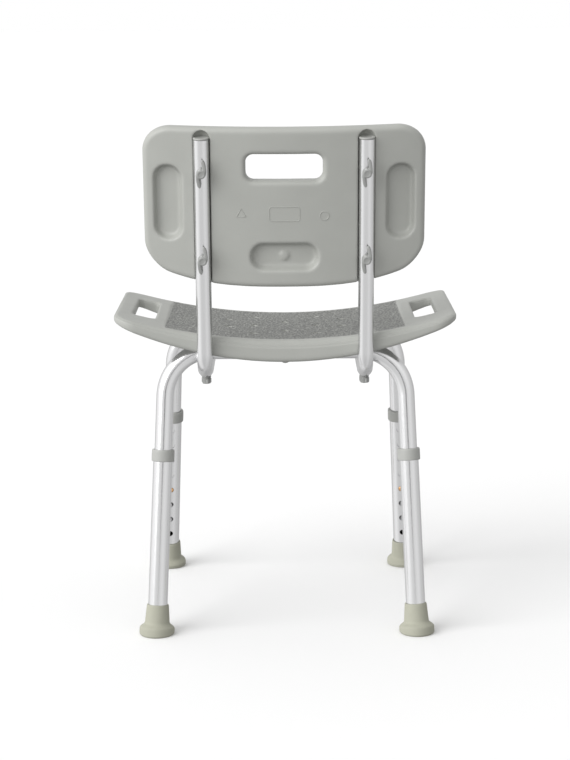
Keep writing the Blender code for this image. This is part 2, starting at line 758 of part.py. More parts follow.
def make_seat(plastic, screws):
    half = (SEAT_WIDTH / 2, (SEAT_REAR_Y - SEAT_FRONT_Y) / 2)
    corners = (SEAT_CORNER_R, SEAT_CORNER_R)
    steps = (4, round(SEAT_WIDTH / SEAT_FACET))
    mesh = slab_mesh("seat", half, corners, SEAT_EDGE_R, place_on_seat, steps, SEAT_INSETS)
    seat = add("seat", mesh, plastic)
    boss_low = ARM_RUN_Z + ARM_R + BOSS_GAP
    boss_high = seat_bottom(ARM_X) + SEAT_DEPTH / 4
    for name, side in SIDES.items():
        boss = cylinder_mesh("boss", BOSS_R, boss_low, boss_high, TUBE_SIDES)
        place = Matrix.Translation((side * ARM_X, MIDDLE_SCREW_Y, 0))
        boss = as_cutter(add(f"arm_boss_{name}", boss, None, place))
        boolean(seat, boss, "UNION", "MANIFOLD")
    saddles = [
        as_cutter(bar(f"arm_saddle_{name}", arm_path(), ARM_R + SADDLE_GAP, arm_matrix(side)))
        for name, side in SIDES.items()
    ]
    cutters = saddles + frame_channel_cutters() + insert_cutters(screws) + handle_cutters()
    for cutter in cutters + [drain_cutter()]:
        boolean(seat, cutter, solver="MANIFOLD")
    shade_round(seat)


def back_place(x, height):
    """On the back panel's rear face at x, square to it."""
    tilt = Matrix.Rotation(math.atan(-x / BACK_SWEEP_R), 4, "Y")
    return back_matrix() @ Matrix.Translation((x, height, back_rear(x))) @ tilt.inverted()


def make_back(plastic, screws):
    half = (BACK_WIDTH / 2, (BACK_TOP - BACK_BOTTOM) / 2)
    corners = (BACK_TOP_CORNER_R, BACK_BOTTOM_CORNER_R)
    mesh = slab_mesh("back_panel", half, corners, BACK_EDGE_R, place_on_back, (5, 14))
    back = add("back_panel", mesh, plastic, back_matrix())
    low_end, side_end = LOW_POCKET_FLOOR[1] / 2, SIDE_POCKET_FLOOR[0] / 2
    slot = prism_mesh("slot", SLOT_SIZE, SLOT_CORNER_R, -2 * BACK_THICKNESS, BACK_THICKNESS)
    rim = pocket_mesh("slot_rim", SLOT_SIZE, SLOT_RIM, SLOT_CORNER_R, SLOT_RIM)
    low = pocket_mesh("low", LOW_POCKET_FLOOR, LOW_POCKET_RIM, low_end, POCKET_DEPTH)
    side = pocket_mesh("side", SIDE_POCKET_FLOOR, SIDE_POCKET_RIM, side_end, POCKET_DEPTH)
    cutters = [
        add("hand_slot", slot, None, back_place(0, SLOT_HEIGHT)),
        add("hand_slot_rim", rim, None, back_place(0, SLOT_HEIGHT)),
        add("low_pocket", low, None, back_place(0, LOW_POCKET_HEIGHT)),
    ]
    for name, direction in SIDES.items():
        x = -direction * SIDE_POCKET_X
        cutters.append(add(f"side_pocket_{name}", side, None, back_place(x, SIDE_POCKET_HEIGHT)))
        cutters.append(post_channel_cutter(name, direction))
    for cutter in cutters:
        boolean(back, as_cutter(cutter))
    for cutter in insert_cutters(screws):
        boolean(back, cutter)
    shade_round(back)


def post_channel_cutter(name, side):
    """A round-bottomed channel for the post, open to the rear, its upper end round."""
    radius = ARM_R + CHANNEL_GAP
    top = POST_TOP + PLUG_CAP + CHANNEL_PAST_POST
    turns = [math.pi / 2 * step / 6 for step in range(6)]
    levels = [(0, 1.0)] + [(top - radius + radius * math.sin(t), math.cos(t)) for t in turns]
    rings = []
    for height, share in levels:
        section = arch(radius * share, -radius * share, 3 * ARM_R)
        rings.append([(across, height, depth) for across, depth in section])
    place = back_matrix() @ Matrix.Translation((-side * ARM_X, 0, 0))
    return add(f"post_channel_{name}", ringed_mesh("post_channel", rings), None, place)


# --- Frames, legs and arms ------------------------------------------------------------------------


def make_frames(aluminium, screws):
    for end_name, end in ENDS.items():
        matrix = frame_matrix(end)
        obj = tube(f"{end_name}_frame", frame_path(), FRAME_R, FRAME_WALL, aluminium, matrix)
        for side_name, side in SIDES.items():
            hole = cylinder_mesh("button_hole", HOLE_R, 0, 2 * FRAME_R)
            place = leg_matrix(side, end) @ radial_matrix(0)
            cutter = add(f"{end_name}_{side_name}_button_hole", hole, None, place)
            boolean(obj, as_cutter(cutter))
        near = {name: screw for name, screw in screws.items() if f"seat_{end_name}" in name}
        for cutter in tube_hole_cutters(near):
            boolean(obj, cutter)
        shade_round(obj)


def make_arms(aluminium, plastic, screws):
    plug = turned_mesh("plug", plug_profile())
    plug.materials.append(plastic)
    for name, side in SIDES.items():
        obj = tube(f"back_arm_{name}", arm_path(), ARM_R, ARM_WALL, aluminium, arm_matrix(side))
        mine = {
            key: screw
            for key, screw in screws.items()
            if key.endswith(name) and not key.startswith("seat_front")
        }
        for cutter in tube_hole_cutters(mine):
            boolean(obj, cutter)
        shade_round(obj)
        top = back_matrix() @ Matrix.Translation((-side * ARM_X, POST_TOP, 0))
        upward = Matrix.Rotation(-math.pi / 2, 4, "X")
        shade_round(add(f"arm_top_plug_{name}", plug, None, top @ upward))
        front = Matrix.Translation((side * ARM_X, ARM_FRONT_Y, ARM_RUN_Z))
        forward = Matrix.Rotation(math.pi / 2, 4, "X")
        shade_round(add(f"arm_end_plug_{name}", plug, None, front @ forward))


def plug_profile():
    """A cap with a stem, along Z out of the tube, its underside just clear of the tube's end."""
    stem_r = ARM_R - ARM_WALL - GAP
    return [
        (0, GAP + PLUG_CAP),
        (ARM_R - PLUG_EDGE, GAP + PLUG_CAP),
        (ARM_R, GAP + PLUG_CAP - PLUG_EDGE),
        (ARM_R, GAP),
        (stem_r, GAP),
        (stem_r, -PLUG_STEM),
        (0, -PLUG_STEM),
    ]


def radial_matrix(hole):
    """In a leg's frame: Z out through a hole's middle, X up the leg. Hole 0 holds the button."""
    turn = Matrix(((0, 0, 1), (1, 0, 0), (0, 1, 0))).transposed().to_4x4()
    return Matrix.Translation((0, 0, BUTTON_HEIGHT + hole * HOLE_PITCH)) @ turn


def leg_hole_cutter(name, parent):
    shape = bmesh.new()
    for hole in range(-HOLES_BELOW_BUTTON, HOLES_ABOVE_BUTTON + 1):
        add_cylinder(shape, HOLE_R, 0, 2 * LEG_R, radial_matrix(hole))
    return as_cutter(add(name, mesh_from(shape, "leg_holes"), None, None, parent))


def lower_tube_profile():
    return [(LEG_R, LEG_TOP), (LEG_R, LEG_BOTTOM), (LEG_INNER_R, LEG_BOTTOM), (LEG_INNER_R, LEG_TOP)]


def collar_profile():
    """A ring over the tube's top end, with an inner lip that steadies the frame tube."""
    top = LEG_TOP + GAP + COLLAR_LIP
    bottom = top - COLLAR_HEIGHT
    bore, lip = LEG_R + GAP, FRAME_R + TUBE_GAP
    return [
        (COLLAR_R - COLLAR_EDGE, top),
        (COLLAR_R, top - COLLAR_EDGE),
        (COLLAR_R, bottom + COLLAR_EDGE),
        (COLLAR_R - COLLAR_EDGE, bottom),
        (bore, bottom),
        (bore, LEG_TOP + GAP),
        (lip, LEG_TOP + GAP),
        (lip, top),
    ]


def foot_mesh(matrix):
    """A rubber tip. Its sleeve follows the leaning leg and its flange lies flat on the floor."""
    bore = LEG_R + GAP
    inside = LEG_BOTTOM - GAP
    profile = [
        (FOOT_SLEEVE_TOP_R - FOOT_EDGE, FOOT_HEIGHT),
        (FOOT_SLEEVE_TOP_R, FOOT_HEIGHT - FOOT_EDGE),
        (FOOT_SLEEVE_LOW_R, FOOT_FLARE_HEIGHT + FOOT_SHOULDER),
        (FOOT_SLEEVE_LOW_R + FOOT_SHOULDER, FOOT_FLARE_HEIGHT - FOOT_SHOULDER),
        (FOOT_FLANGE_R - FOOT_EDGE, FOOT_FLANGE_HEIGHT + FOOT_EDGE),
        (FOOT_FLANGE_R, FOOT_FLANGE_HEIGHT),
        (FOOT_FLANGE_R, FOOT_EDGE),
        (FOOT_FLANGE_R - FOOT_EDGE, 0),
        (0, 0),
        (0, inside),
        (bore, inside),
        (bore, FOOT_HEIGHT),
    ]
    mesh = turned_mesh("foot", profile)
    close_rim(mesh)
    tilt = matrix.to_3x3()
    across, facing, up = (tilt @ Vector(axis) for axis in ((1, 0, 0), (0, 1, 0), (0, 0, 1)))
    for axis in (across, facing):
        axis.z = 0
        axis.normalize()
    for vertex in mesh.vertices:
        level = min(max(1 - vertex.co.z / inside, 0), 1)
        upright = across * vertex.co.x + facing * vertex.co.y + up * vertex.co.z
        vertex.co = tilt.inverted() @ (tilt @ vertex.co).lerp(upright, level)
    return mesh


def close_rim(mesh):
    """Joins the open edge loops of a turned outline that ends where it began."""
    shape = bmesh.new()
    shape.from_mesh(mesh)
    rims = [edge for edge in shape.edges if edge.is_boundary]
    bmesh.ops.bridge_loops(shape, edges=rims)
    bmesh.ops.recalc_face_normals(shape, faces=shape.faces)
    shape.to_mesh(mesh)
    shape.free()


def button_profile():
    """Flange and shaft along Z, heights from the leg's axis. The flange clears the round tube wall."""
    bore = FRAME_R - FRAME_WALL
    flange_top = math.sqrt(bore**2 - BUTTON_FLANGE_R**2) - GAP
    tip = LEG_R + BUTTON_PROUD
    return [
        (0, tip),
        (BUTTON_R * 0.60, tip - BUTTON_DOME * 0.15),
        (BUTTON_R * 0.90, tip - BUTTON_DOME * 0.50),
        (BUTTON_R, tip - BUTTON_DOME),
        (BUTTON_R, flange_top),
        (BUTTON_FLANGE_R, flange_top),
        (BUTTON_FLANGE_R, flange_top - BUTTON_FLANGE),
        (0, flange_top - BUTTON_FLANGE),
    ]


def make_spring(name, material, matrix):
    """A leaf bent to a narrow V: one leg under the button, the other on the tube's far wall."""
    bore = FRAME_R - FRAME_WALL
    half = SPRING_SHEET / 2
    near = button_profile()[-1][1] - GAP - half
    far = math.sqrt(bore**2 - (SPRING_WIDTH / 2) ** 2) - GAP - half
    path = rounded_path(
        [
            ((-BUTTON_R, near, 0), 0),
            ((BUTTON_R, near, 0), SPRING_BEND_R),
            ((SPRING_LENGTH, SPRING_BEND_R, 0), SPRING_BEND_R),
            ((-BUTTON_R, -far, 0), 0),
        ],
        steps=4,
    )
    curve = path_curve(name, path, half_width=SPRING_WIDTH / 2)
    turn = Matrix(((1, 0, 0), (0, 0, 1), (0, -1, 0))).transposed().to_4x4()
    obj = add(name, curve, material, matrix @ turn)
    leaf = obj.modifiers.new("sheet", "SOLIDIFY")
    leaf.thickness = SPRING_SHEET
    leaf.offset = 0
    made_mesh(obj)


def make_legs(aluminium, grey, rubber, brass, steel):
    collar = turned_mesh("collar", collar_profile(), ring=True)
    collar.materials.append(grey)
    button = turned_mesh("button", button_profile(), SMALL_SIDES)
    button.materials.append(brass)
    for end_name, end in ENDS.items():
        for side_name, side in SIDES.items():
            leg = f"{end_name}_{side_name}"
            matrix = leg_matrix(side, end)
            slide = empty(f"{leg}_leg_slide", matrix, CHAIR)
            tube_mesh = turned_mesh("lower_leg", lower_tube_profile(), ring=True)
            lower = add(f"{leg}_leg_tube", tube_mesh, aluminium, None, slide)
            boolean(lower, leg_hole_cutter(f"{leg}_leg_holes", slide))
            shade_round(lower)
            shade_round(add(f"{leg}_collar", collar, None, None, slide))
            shade_round(add(f"{leg}_foot", foot_mesh(matrix), rubber, None, slide))
            press = empty(f"{leg}_button_slide", matrix @ radial_matrix(0), CHAIR)
            shade_round(add(f"{leg}_snap_button", button, None, None, press))
            make_spring(f"{leg}_snap_spring", steel, matrix @ radial_matrix(0))


def chair_shift():
    """Half of how much further the upper wing screws reach to the rear than the front feet reach."""
    front = LEG_Y + FOOT_FLANGE_R
    wing_tip = Vector((0, UPPER_BACK_SCREW + WING_REACH + WING_TIP_R, ARM_R + GAP + WING_TOP))
    rear = (back_matrix() @ wing_tip).y
    return (front - rear) / 2


# --- The chair ------------------------------------------------------------------------------------

clear_scene()
PARTS = new_collection("shower_chair")
CUTTERS = new_collection("cutters")
CHAIR = empty("chair", Matrix.Translation((0, chair_shift(), 0)))

moulded_grey = plain_material("moulded_grey", (0.40, 0.41, 0.38), 0.45)
satin_aluminium = plain_material("satin_aluminium", (0.80, 0.80, 0.80), 0.35, 1.0)
grey_fitting = plain_material("grey_fitting", (0.35, 0.36, 0.34), 0.50)
rubber_grey = plain_material("rubber_grey", (0.37, 0.36, 0.29), 0.75)
knob_grey = plain_material("knob_grey", (0.34, 0.35, 0.34), 0.50)
zinc_steel = plain_material("zinc_steel", (0.60, 0.60, 0.58), 0.35, 1.0)
brass = plain_material("brass", (0.70, 0.50, 0.25), 0.35, 1.0)

under_seat = seat_screws()
on_back = back_screws()
make_seat(moulded_grey, under_seat)
make_back(moulded_grey, on_back)
make_frames(satin_aluminium, under_seat)
make_arms(satin_aluminium, grey_fitting, under_seat | on_back)
make_legs(satin_aluminium, grey_fitting, rubber_grey, brass, zinc_steel)
make_screws(under_seat | on_back, knob_mesh(), insert_mesh(), zinc_steel, knob_grey, brass)
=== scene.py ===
"""Looks of the shower chair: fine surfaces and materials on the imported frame. Metres, +Z up.

The sitter faces -Y. Shapes are worked out in a frame whose origin lies midway between the four
feet, and moved by CHAIR_SHIFT along Y into the row frame.
"""

import json
import math

import bmesh
import bpy
from mathutils import Matrix, Vector


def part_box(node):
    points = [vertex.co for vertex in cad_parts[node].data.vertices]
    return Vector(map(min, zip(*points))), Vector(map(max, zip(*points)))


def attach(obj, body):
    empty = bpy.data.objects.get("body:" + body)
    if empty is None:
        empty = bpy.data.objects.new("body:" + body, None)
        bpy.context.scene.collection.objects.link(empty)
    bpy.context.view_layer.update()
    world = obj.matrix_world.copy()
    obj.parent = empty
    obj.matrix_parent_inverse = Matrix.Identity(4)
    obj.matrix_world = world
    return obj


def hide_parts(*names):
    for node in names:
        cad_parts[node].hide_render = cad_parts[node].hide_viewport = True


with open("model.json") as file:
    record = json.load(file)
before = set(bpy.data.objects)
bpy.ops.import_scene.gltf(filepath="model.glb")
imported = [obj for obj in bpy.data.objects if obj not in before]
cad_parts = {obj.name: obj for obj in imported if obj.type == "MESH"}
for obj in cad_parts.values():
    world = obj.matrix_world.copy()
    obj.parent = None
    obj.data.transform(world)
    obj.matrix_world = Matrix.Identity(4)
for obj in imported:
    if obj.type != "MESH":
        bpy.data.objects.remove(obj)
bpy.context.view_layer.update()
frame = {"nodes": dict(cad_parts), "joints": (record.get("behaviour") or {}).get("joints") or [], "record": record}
RECORD = frame["record"]
JOINTS = {joint["name"]: joint for joint in frame["joints"]}
MOUNTS = {mount["name"]: mount for mount in RECORD["mounts"]}

# --- Dimensions, as in the CAD ---

GAP = 0.0003
CHAIR_SHIFT = sum(mount["pos_m"][1] for mount in MOUNTS.values()) / len(MOUNTS)
SHIFT = Matrix.Translation((0, CHAIR_SHIFT, 0))

LEG_X, LEG_Y = 0.1893, 0.1721
SIDE_SPLAY = math.radians(2.53)
FORE_AFT_SPLAY = math.radians(8.6)
FRAME_RUN_Z = 0.407
FRAME_R = 0.0127
FRAME_WALL = 0.0012
FRAME_BEND_R = 0.068
LEG_WALL = 0.0010
LEG_BOTTOM, LEG_TOP = 0.0100, 0.2665
HOLE_PITCH = 0.0254
HOLES_BELOW_BUTTON, HOLES_ABOVE_BUTTON = 3, 4
BUTTON_HEIGHT = 0.1378
BUTTON_CLEARANCE = 0.0004
FRAME_PAST_BUTTON = 0.0163
COLLAR_WALL = 0.0025
COLLAR_HEIGHT = 0.0172
COLLAR_LIP = 0.0022
FOOT_FLANGE_R = 0.0255
FOOT_HEIGHT = 0.0430
BUTTON_R = 0.0039
BUTTON_FLANGE_LIP = 0.0003
BUTTON_FLANGE = 0.0013
BUTTON_PROUD = 0.0012

ARM_X = 0.1143
ARM_R = 0.0111
ARM_WALL = 0.0012
ARM_BEND_R = 0.035
ARM_FRONT_Y = -0.060
POST_BEHIND_SEAT, POST_OVER_RUN = 0.0070, 0.0080
POST_TOP = 0.3045
RECLINE = math.radians(6.5)
PLUG_CAP = 0.0025
PLUG_STEM = 0.0120

SEAT_WIDTH = 0.492
SEAT_REAR_OVERHANG, SEAT_FRONT_OVERHANG = 0.0395, 0.0165
SEAT_CORNER_R = 0.032
SEAT_OVER_FRAME = 0.0083
SEAT_DEPTH, SEAT_END_DEPTH = 0.032, 0.0124
SEAT_SWEEP_R = 0.830
WATERFALL_START_Y = -0.020
WATERFALL_DROP = 0.0050
HANDLE_INSET, HANDLE_Y = 0.0400, 0.0100
HANDLE_SIZE = (0.032, 0.147)
HANDLE_CORNER_R = 0.009
DRAIN_R = 0.0055
DRAIN_COLUMNS = ((0.0, (-0.022, 0.058)), (0.046, (-0.065, 0.015, 0.085)), (0.084, (-0.025, 0.038)))
BOSS_R = 0.0125
BOSS_GAP = 0.0006
FRAME_CHANNEL_GAP = 0.0006
SADDLE_GAP = 0.0009
SADDLE_BORE = 0.0005
FRAME_CHANNEL_BEND = 0.70

BACK_WIDTH = 0.394
BACK_TOP, BACK_BOTTOM = 0.3205, 0.0950
BACK_BOW = 0.032
BACK_THICKNESS = 0.024
BACK_REAR_AT_POST = 0.0010
BACK_SWEEP_R = 0.700
BACK_TOP_CORNER_R, BACK_BOTTOM_CORNER_R = 0.040, 0.036
CHANNEL_GAP = 0.0009
CHANNEL_PAST_POST = 0.0100
SLOT_SIZE = (0.107, 0.037)
SLOT_CORNER_R = 0.011
SLOT_HEIGHT = 0.2655
POCKET_DEPTH = 0.0100
SIDE_POCKET_INSET, SIDE_POCKET_HEIGHT = 0.0350, 0.2145
SIDE_POCKET_FLOOR = (0.027, 0.093)
LOW_POCKET_HEIGHT = 0.1395
LOW_POCKET_FLOOR = (0.080, 0.024)
SIDE_POCKET_RIM, LOW_POCKET_RIM = 0.0085, 0.0100

STUD_R, STUD_CLEARANCE = 0.0030, 0.0004
KNOB_R, KNOB_HEIGHT = 0.0068, 0.0120
KNOB_TOP = 0.0030
WING_REACH = 0.0168
WING_OFFSET, WING_TIP_OFFSET = 0.0044, 0.0022
WING_ROOT_R, WING_TIP_R = 0.0024, 0.0029
WING_BOTTOM, WING_TOP = 0.0022, 0.0108
INSERT_WALL, INSERT_LENGTH = 0.0015, 0.0065
MIDDLE_SCREW_Y = -0.040

AXIS_COS = 1 / math.sqrt(1 + math.tan(SIDE_SPLAY) ** 2 + math.tan(FORE_AFT_SPLAY) ** 2)
FRAME_RUN_Y = LEG_Y - FRAME_RUN_Z * math.tan(FORE_AFT_SPLAY)
LEG_INNER_R = FRAME_R + GAP
LEG_R = LEG_INNER_R + LEG_WALL
FRAME_END = BUTTON_HEIGHT - FRAME_PAST_BUTTON
HOLE_R = BUTTON_R + BUTTON_CLEARANCE
BUTTON_FLANGE_R = HOLE_R + BUTTON_FLANGE_LIP
COLLAR_R = LEG_R + COLLAR_WALL
SEAT_TOP_Z = FRAME_RUN_Z + FRAME_R + SEAT_OVER_FRAME
SEAT_REAR_Y = FRAME_RUN_Y + SEAT_REAR_OVERHANG
SEAT_FRONT_Y = -FRAME_RUN_Y - SEAT_FRONT_OVERHANG
SEAT_MID_Y = (SEAT_REAR_Y + SEAT_FRONT_Y) / 2
BACK_REAR_MIDDLE = BACK_REAR_AT_POST + ARM_X**2 / (2 * BACK_SWEEP_R)
HANDLE_X = SEAT_WIDTH / 2 - HANDLE_INSET
POST_Y = SEAT_REAR_Y + POST_BEHIND_SEAT
POST_Z = FRAME_RUN_Z + POST_OVER_RUN
SIDE_POCKET_X = BACK_WIDTH / 2 - SIDE_POCKET_INSET
STUD_IN_KNOB = KNOB_HEIGHT - KNOB_TOP
TUBE_HOLE_R = STUD_R + STUD_CLEARANCE
INSERT_R = STUD_R + INSERT_WALL

ENDS = {"front": -1, "rear": 1}
SIDES = {"left": 1, "right": -1}

# --- Fine detail of the surfaces ---

PANEL_VOXEL = 0.0016
KNOB_VOXEL = 0.00045
TUBE_SIDES = 64
SMALL_SIDES = 48
BEND_STEPS = 28
WELD = 0.00001
SHARP_ANGLE = math.radians(35)
LEAST_CORNER_R = 0.001

SEAT_FIELD_INSET = 0.0135  # the pebbled field is sunk inside a smooth rim this wide
SEAT_FIELD_DEPTH = 0.0007
SEAT_FIELD_X = 0.1725
SEAT_RIM = ((0.0125, 0.0), (0.0090, 0.0), (0.0062, 0.0004), (0.0040, 0.0015))  # (inset, depth)
SEAT_SKIRT = ((0.0030, 0.0030), (0.0026, 0.0048), (0.0012, 0.0060), (0.0008, 0.0078))
SEAT_SIDE = ((0.0007, 0.0096), (0.0, 0.0108), (0.0, 0.0150))
POCKET_DISH = 0.0015  # the softened floors of the recesses end up this much less deep
SKIRT_STEPS = (0.16, 0.31)  # share of the seat's depth at which each step starts
SKIRT_STEP_WIDTH = 0.06
SKIRT_STEP = 0.0010
FIELD_FADE = 0.0015
FIELD_CORNER_R = 0.0140
PEBBLES_PER_METRE = 270
PEBBLE_HEIGHT = 0.0012
NUB_R, NUB_INSET = 0.0034, 0.0090  # the moulding's sprue mark under the seat's rear edge
NUB_PROUD, NUB_ROOT = 0.0022, 0.0040
DRAIN_FLARE, HANDLE_FLARE = 0.0016, 0.0035
SLOT_FLARE, SLOT_TAPER = 0.0062, 0.0025
BACK_EDGE_R = 0.0075
CUTTER_PAST_FACE = 0.020
MARK_HEIGHT = 0.2010  # of the raised marks, up the back
MARK_LINE_R, MARK_SUNK = 0.00055, 0.0001
LABEL_HALF, LABEL_CORNER_R = (0.0210, 0.0100), 0.0030
RING_X, RING_DROP, RING_R = 0.0555, 0.0030, 0.0062
TRIANGLE_X, TRIANGLE_R = -0.0600, 0.0075
LOW_BOSS_R, LOW_BOSS_TOP, LOW_BOSS_ROOT = 0.0058, 0.0012, 0.0030
PLUG_DISH = 0.0007
SCREW_HOLE_REACH = 0.075
SEAT_UNDER_EDGE = ((0.0, 0.0070), (0.0006, 0.0036), (0.0022, 0.0012), (0.0050, 0.0))


# --- Scene helpers ---


def add(name, data, matrix=None):
    obj = bpy.data.objects.new(name, data)
    bpy.context.scene.collection.objects.link(obj)
    obj.matrix_world = matrix or Matrix.Identity(4)
    return obj


def mesh_from(shape, name):
    mesh = bpy.data.meshes.new(name)
    shape.to_mesh(mesh)
    shape.free()
    return mesh


def boolean(obj, other, operation="DIFFERENCE", solver="MANIFOLD"):
    modifier = obj.modifiers.new(f"{operation.lower()} {other.name}", "BOOLEAN")
    modifier.object = other
    modifier.operation = operation
    modifier.solver = solver


def finished(obj, material=None, cutters=()):
    """Applies an object's modifiers and its place to its mesh, and removes its cutters."""
    bpy.context.view_layer.update()
    graph = bpy.context.evaluated_depsgraph_get()
    mesh = bpy.data.meshes.new_from_object(obj.evaluated_get(graph))
    mesh.transform(obj.matrix_world)
    obj.modifiers.clear()
    obj.data = mesh
    mesh.name = obj.name
    obj.matrix_world = Matrix.Identity(4)
    for cutter in cutters:
        bpy.data.objects.remove(cutter, do_unlink=True)
    if material:
        mesh.materials.clear()
        mesh.materials.append(material)
    return obj


def carved(obj, cutters, material=None, solver="MANIFOLD"):
    """Cuts the cutters out of an object and finishes it."""
    for cutter in cutters:
        boolean(obj, cutter, solver=solver)
    return finished(obj, material, cutters)


def shade_round(obj):
    obj.data.shade_smooth()
    obj.data.set_sharp_from_angle(angle=SHARP_ANGLE)


def soften(obj, voxel, passes):
    """Turns a solid into an even fine mesh and rounds its edges, as moulding does."""
    remesh = obj.modifiers.new("even", "REMESH")
    remesh.mode = "VOXEL"
    remesh.voxel_size = voxel
    smooth = obj.modifiers.new("soft", "SMOOTH")
    smooth.factor = 0.5
    smooth.iterations = passes


def shown(obj, body, slot_name, *nodes):
    """Shades a finished piece smooth, parents it to body so that it moves with body, and hides the CAD nodes it
    stands for.
    """
    shade_round(obj)
    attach(obj, body)
    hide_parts(*nodes)


# --- Shape helpers ---


def turns(steps, whole=math.pi / 2):
    """Even angles from 0 to whole, both included."""
    return [whole * step / steps for step in range(steps + 1)]


def circle(sides):
    return turns(sides, 2 * math.pi)[:-1]


def cylinder(name, radius, low, high, place, sides=SMALL_SIDES):
    shape = bmesh.new()
    middle = Matrix.Translation((0, 0, (low + high) / 2))
    size = {"segments": sides, "radius1": radius, "radius2": radius, "depth": high - low}
    bmesh.ops.create_cone(shape, cap_ends=True, matrix=middle, **size)
    return add(name, mesh_from(shape, name), place)


def turned_mesh(name, profile, sides=TUBE_SIDES):
    """A turned solid from its (radius, height) outline, top to bottom, closed at the axis or on itself."""
    shape = bmesh.new()
    rings = []
    for radius, height in profile:
        if radius < WELD:
            rings.append([shape.verts.new((0, 0, height))])
            continue
        points = [(radius * math.cos(t), radius * math.sin(t), height) for t in circle(sides)]
        rings.append([shape.verts.new(point) for point in points])
    pairs = list(zip(rings, rings[1:]))
    if len(rings[0]) > 1:
        pairs.append((rings[-1], rings[0]))
    for upper, lower in pairs:
        for step in range(sides):
            corners = []
            for ring, index in ((upper, step), (lower, step), (lower, step + 1), (upper, step + 1)):
                corner = ring[index % len(ring)]
                if corner not in corners:
                    corners.append(corner)
            if len(corners) > 2:
                shape.faces.new(corners)
    bmesh.ops.recalc_face_normals(shape, faces=shape.faces)
    return mesh_from(shape, name)


def rounded(profile, radius, steps=4):
    """Rounds the corners of a (radius, height) outline, but leaves its two ends."""
    points = [Vector(point) for point in profile]
    smooth = [points[0]]
    for before, corner, after in zip(points, points[1:], points[2:]):
        cut = min(radius, (before - corner).length / 2.2, (after - corner).length / 2.2)
        first = corner + (before - corner).normalized() * cut
        last = corner + (after - corner).normalized() * cut
        for step in range(steps + 1):
            share = step / steps
            smooth.append(first.lerp(corner, share).lerp(corner.lerp(last, share), share))
    return [tuple(point) for point in smooth + [points[-1]]]


def rounded_path(corners, steps=BEND_STEPS):
    """Points along straight runs joined by arcs. Each corner is (point, bend radius)."""
    path = [Vector(corners[0][0])]
    for (before, _), (corner, radius), (after, _) in zip(corners, corners[1:], corners[2:]):
        corner = Vector(corner)
        back = (Vector(before) - corner).normalized()
        onward = (Vector(after) - corner).normalized()
        half = back.angle(onward) / 2
        centre = corner + (back + onward).normalized() * radius / math.sin(half)
        first = corner + back * radius / math.tan(half) - centre
        last = corner + onward * radius / math.tan(half) - centre
        axis, turn = first.cross(last), first.angle(last)
        for step in range(steps + 1):
            path.append(centre + Matrix.Rotation(turn * step / steps, 3, axis) @ first)
    return path + [Vector(corners[-1][0])]


def tube_mesh(name, path, outer, inner, sides=TUBE_SIDES):
    """A hollow tube along a path in the XY plane. Its UV map is in metres, V along the tube."""
    shape = bmesh.new()
    uv = shape.loops.layers.uv.new("along_tube")
    across = Vector((0, 0, 1))
    outsides, insides, lengths = [], [], [0.0]
    for i, point in enumerate(path):
        ahead = (path[min(i + 1, len(path) - 1)] - point).normalized()
        behind = (point - path[max(i - 1, 0)]).normalized()
        side = (ahead + behind).cross(across).normalized()
        if i:
            lengths.append(lengths[-1] + (point - path[i - 1]).length)
        for rings, radius in ((outsides, outer), (insides, inner)):
            spokes = [side * math.cos(t) + across * math.sin(t) for t in circle(sides)]
            rings.append([shape.verts.new(point + radius * spoke) for spoke in spokes])
    strips = []
    for i in range(len(path) - 1):
        strips.append((outsides[i], outsides[i + 1], lengths[i], lengths[i + 1]))
        strips.append((insides[i + 1], insides[i], lengths[i + 1], lengths[i]))
    strips.append((insides[0], outsides[0], 0, outer - inner))
    strips.append((outsides[-1], insides[-1], 0, outer - inner))
    for first, second, first_v, second_v in strips:
        for step in range(sides):
            after = (step + 1) % sides
            face = shape.faces.new((first[step], second[step], second[after], first[after]))
            start, end = (2 * math.pi * outer * s / sides for s in (step, step + 1))
            places = ((start, first_v), (start, second_v), (end, second_v), (end, first_v))
            for loop, place in zip(face.loops, places):
                loop[uv].uv = place
    bmesh.ops.recalc_face_normals(shape, faces=shape.faces)
    return mesh_from(shape, name)


def rounded_half(half_x, half_y, radius, arc_steps, side_steps):
    """The upper half of a rounded rectangle, from its right side over the top to its left side."""
    radius = min(max(radius, LEAST_CORNER_R), half_x - WELD, half_y - WELD)
    across, up = half_x - radius, half_y - radius
    right = [(across + radius * math.cos(t), up + radius * math.sin(t)) for t in turns(arc_steps)]
    span = 2 * (half_x - radius)
    top = [(half_x - radius - span * step / side_steps, half_y) for step in range(1, side_steps)]
    left = [(-x, y) for x, y in reversed(right)]
    return right + top + left


def rounded_outline(half_x, half_y, upper_r, lower_r, arc_steps, side_steps):
    upper = rounded_half(half_x, half_y, upper_r, arc_steps, side_steps)
    lower = rounded_half(half_x, half_y, lower_r, arc_steps, side_steps)
    return upper + [(x, -y) for x, y in reversed(lower)]


def ringed(name, rings, place=None):
    """A closed body through a stack of outlines, its first and last ones filled across."""
    shape = bmesh.new()
    loops = [[shape.verts.new(point) for point in ring] for ring in rings]
    count = len(loops[0])
    for near, far in zip(loops, loops[1:]):
        for i in range(count):
            j = (i + 1) % count
            shape.faces.new((near[i], far[i], far[j], near[j]))
    for loop in (loops[0], loops[-1]):
        for i in range(count // 2 - 1):
            shape.faces.new((loop[i], loop[i + 1], loop[count - 2 - i], loop[count - 1 - i]))
    bmesh.ops.recalc_face_normals(shape, faces=shape.faces)
    return add(name, mesh_from(shape, name), place)


def arch(half_width, bottom, leg_top, steps=16):
    """A U-shaped section as (across, height) points, mirrored so that point i faces point -1-i."""
    turn = [math.pi / 2 * (step + 0.5) / steps for step in range(steps)]
    right = [(half_width * math.sin(t), bottom * math.cos(t)) for t in turn]
    right += [(half_width, 0), (half_width, leg_top)]
    return right + [(-across, height) for across, height in reversed(right)]


# --- Frames of reference, in the row frame ---


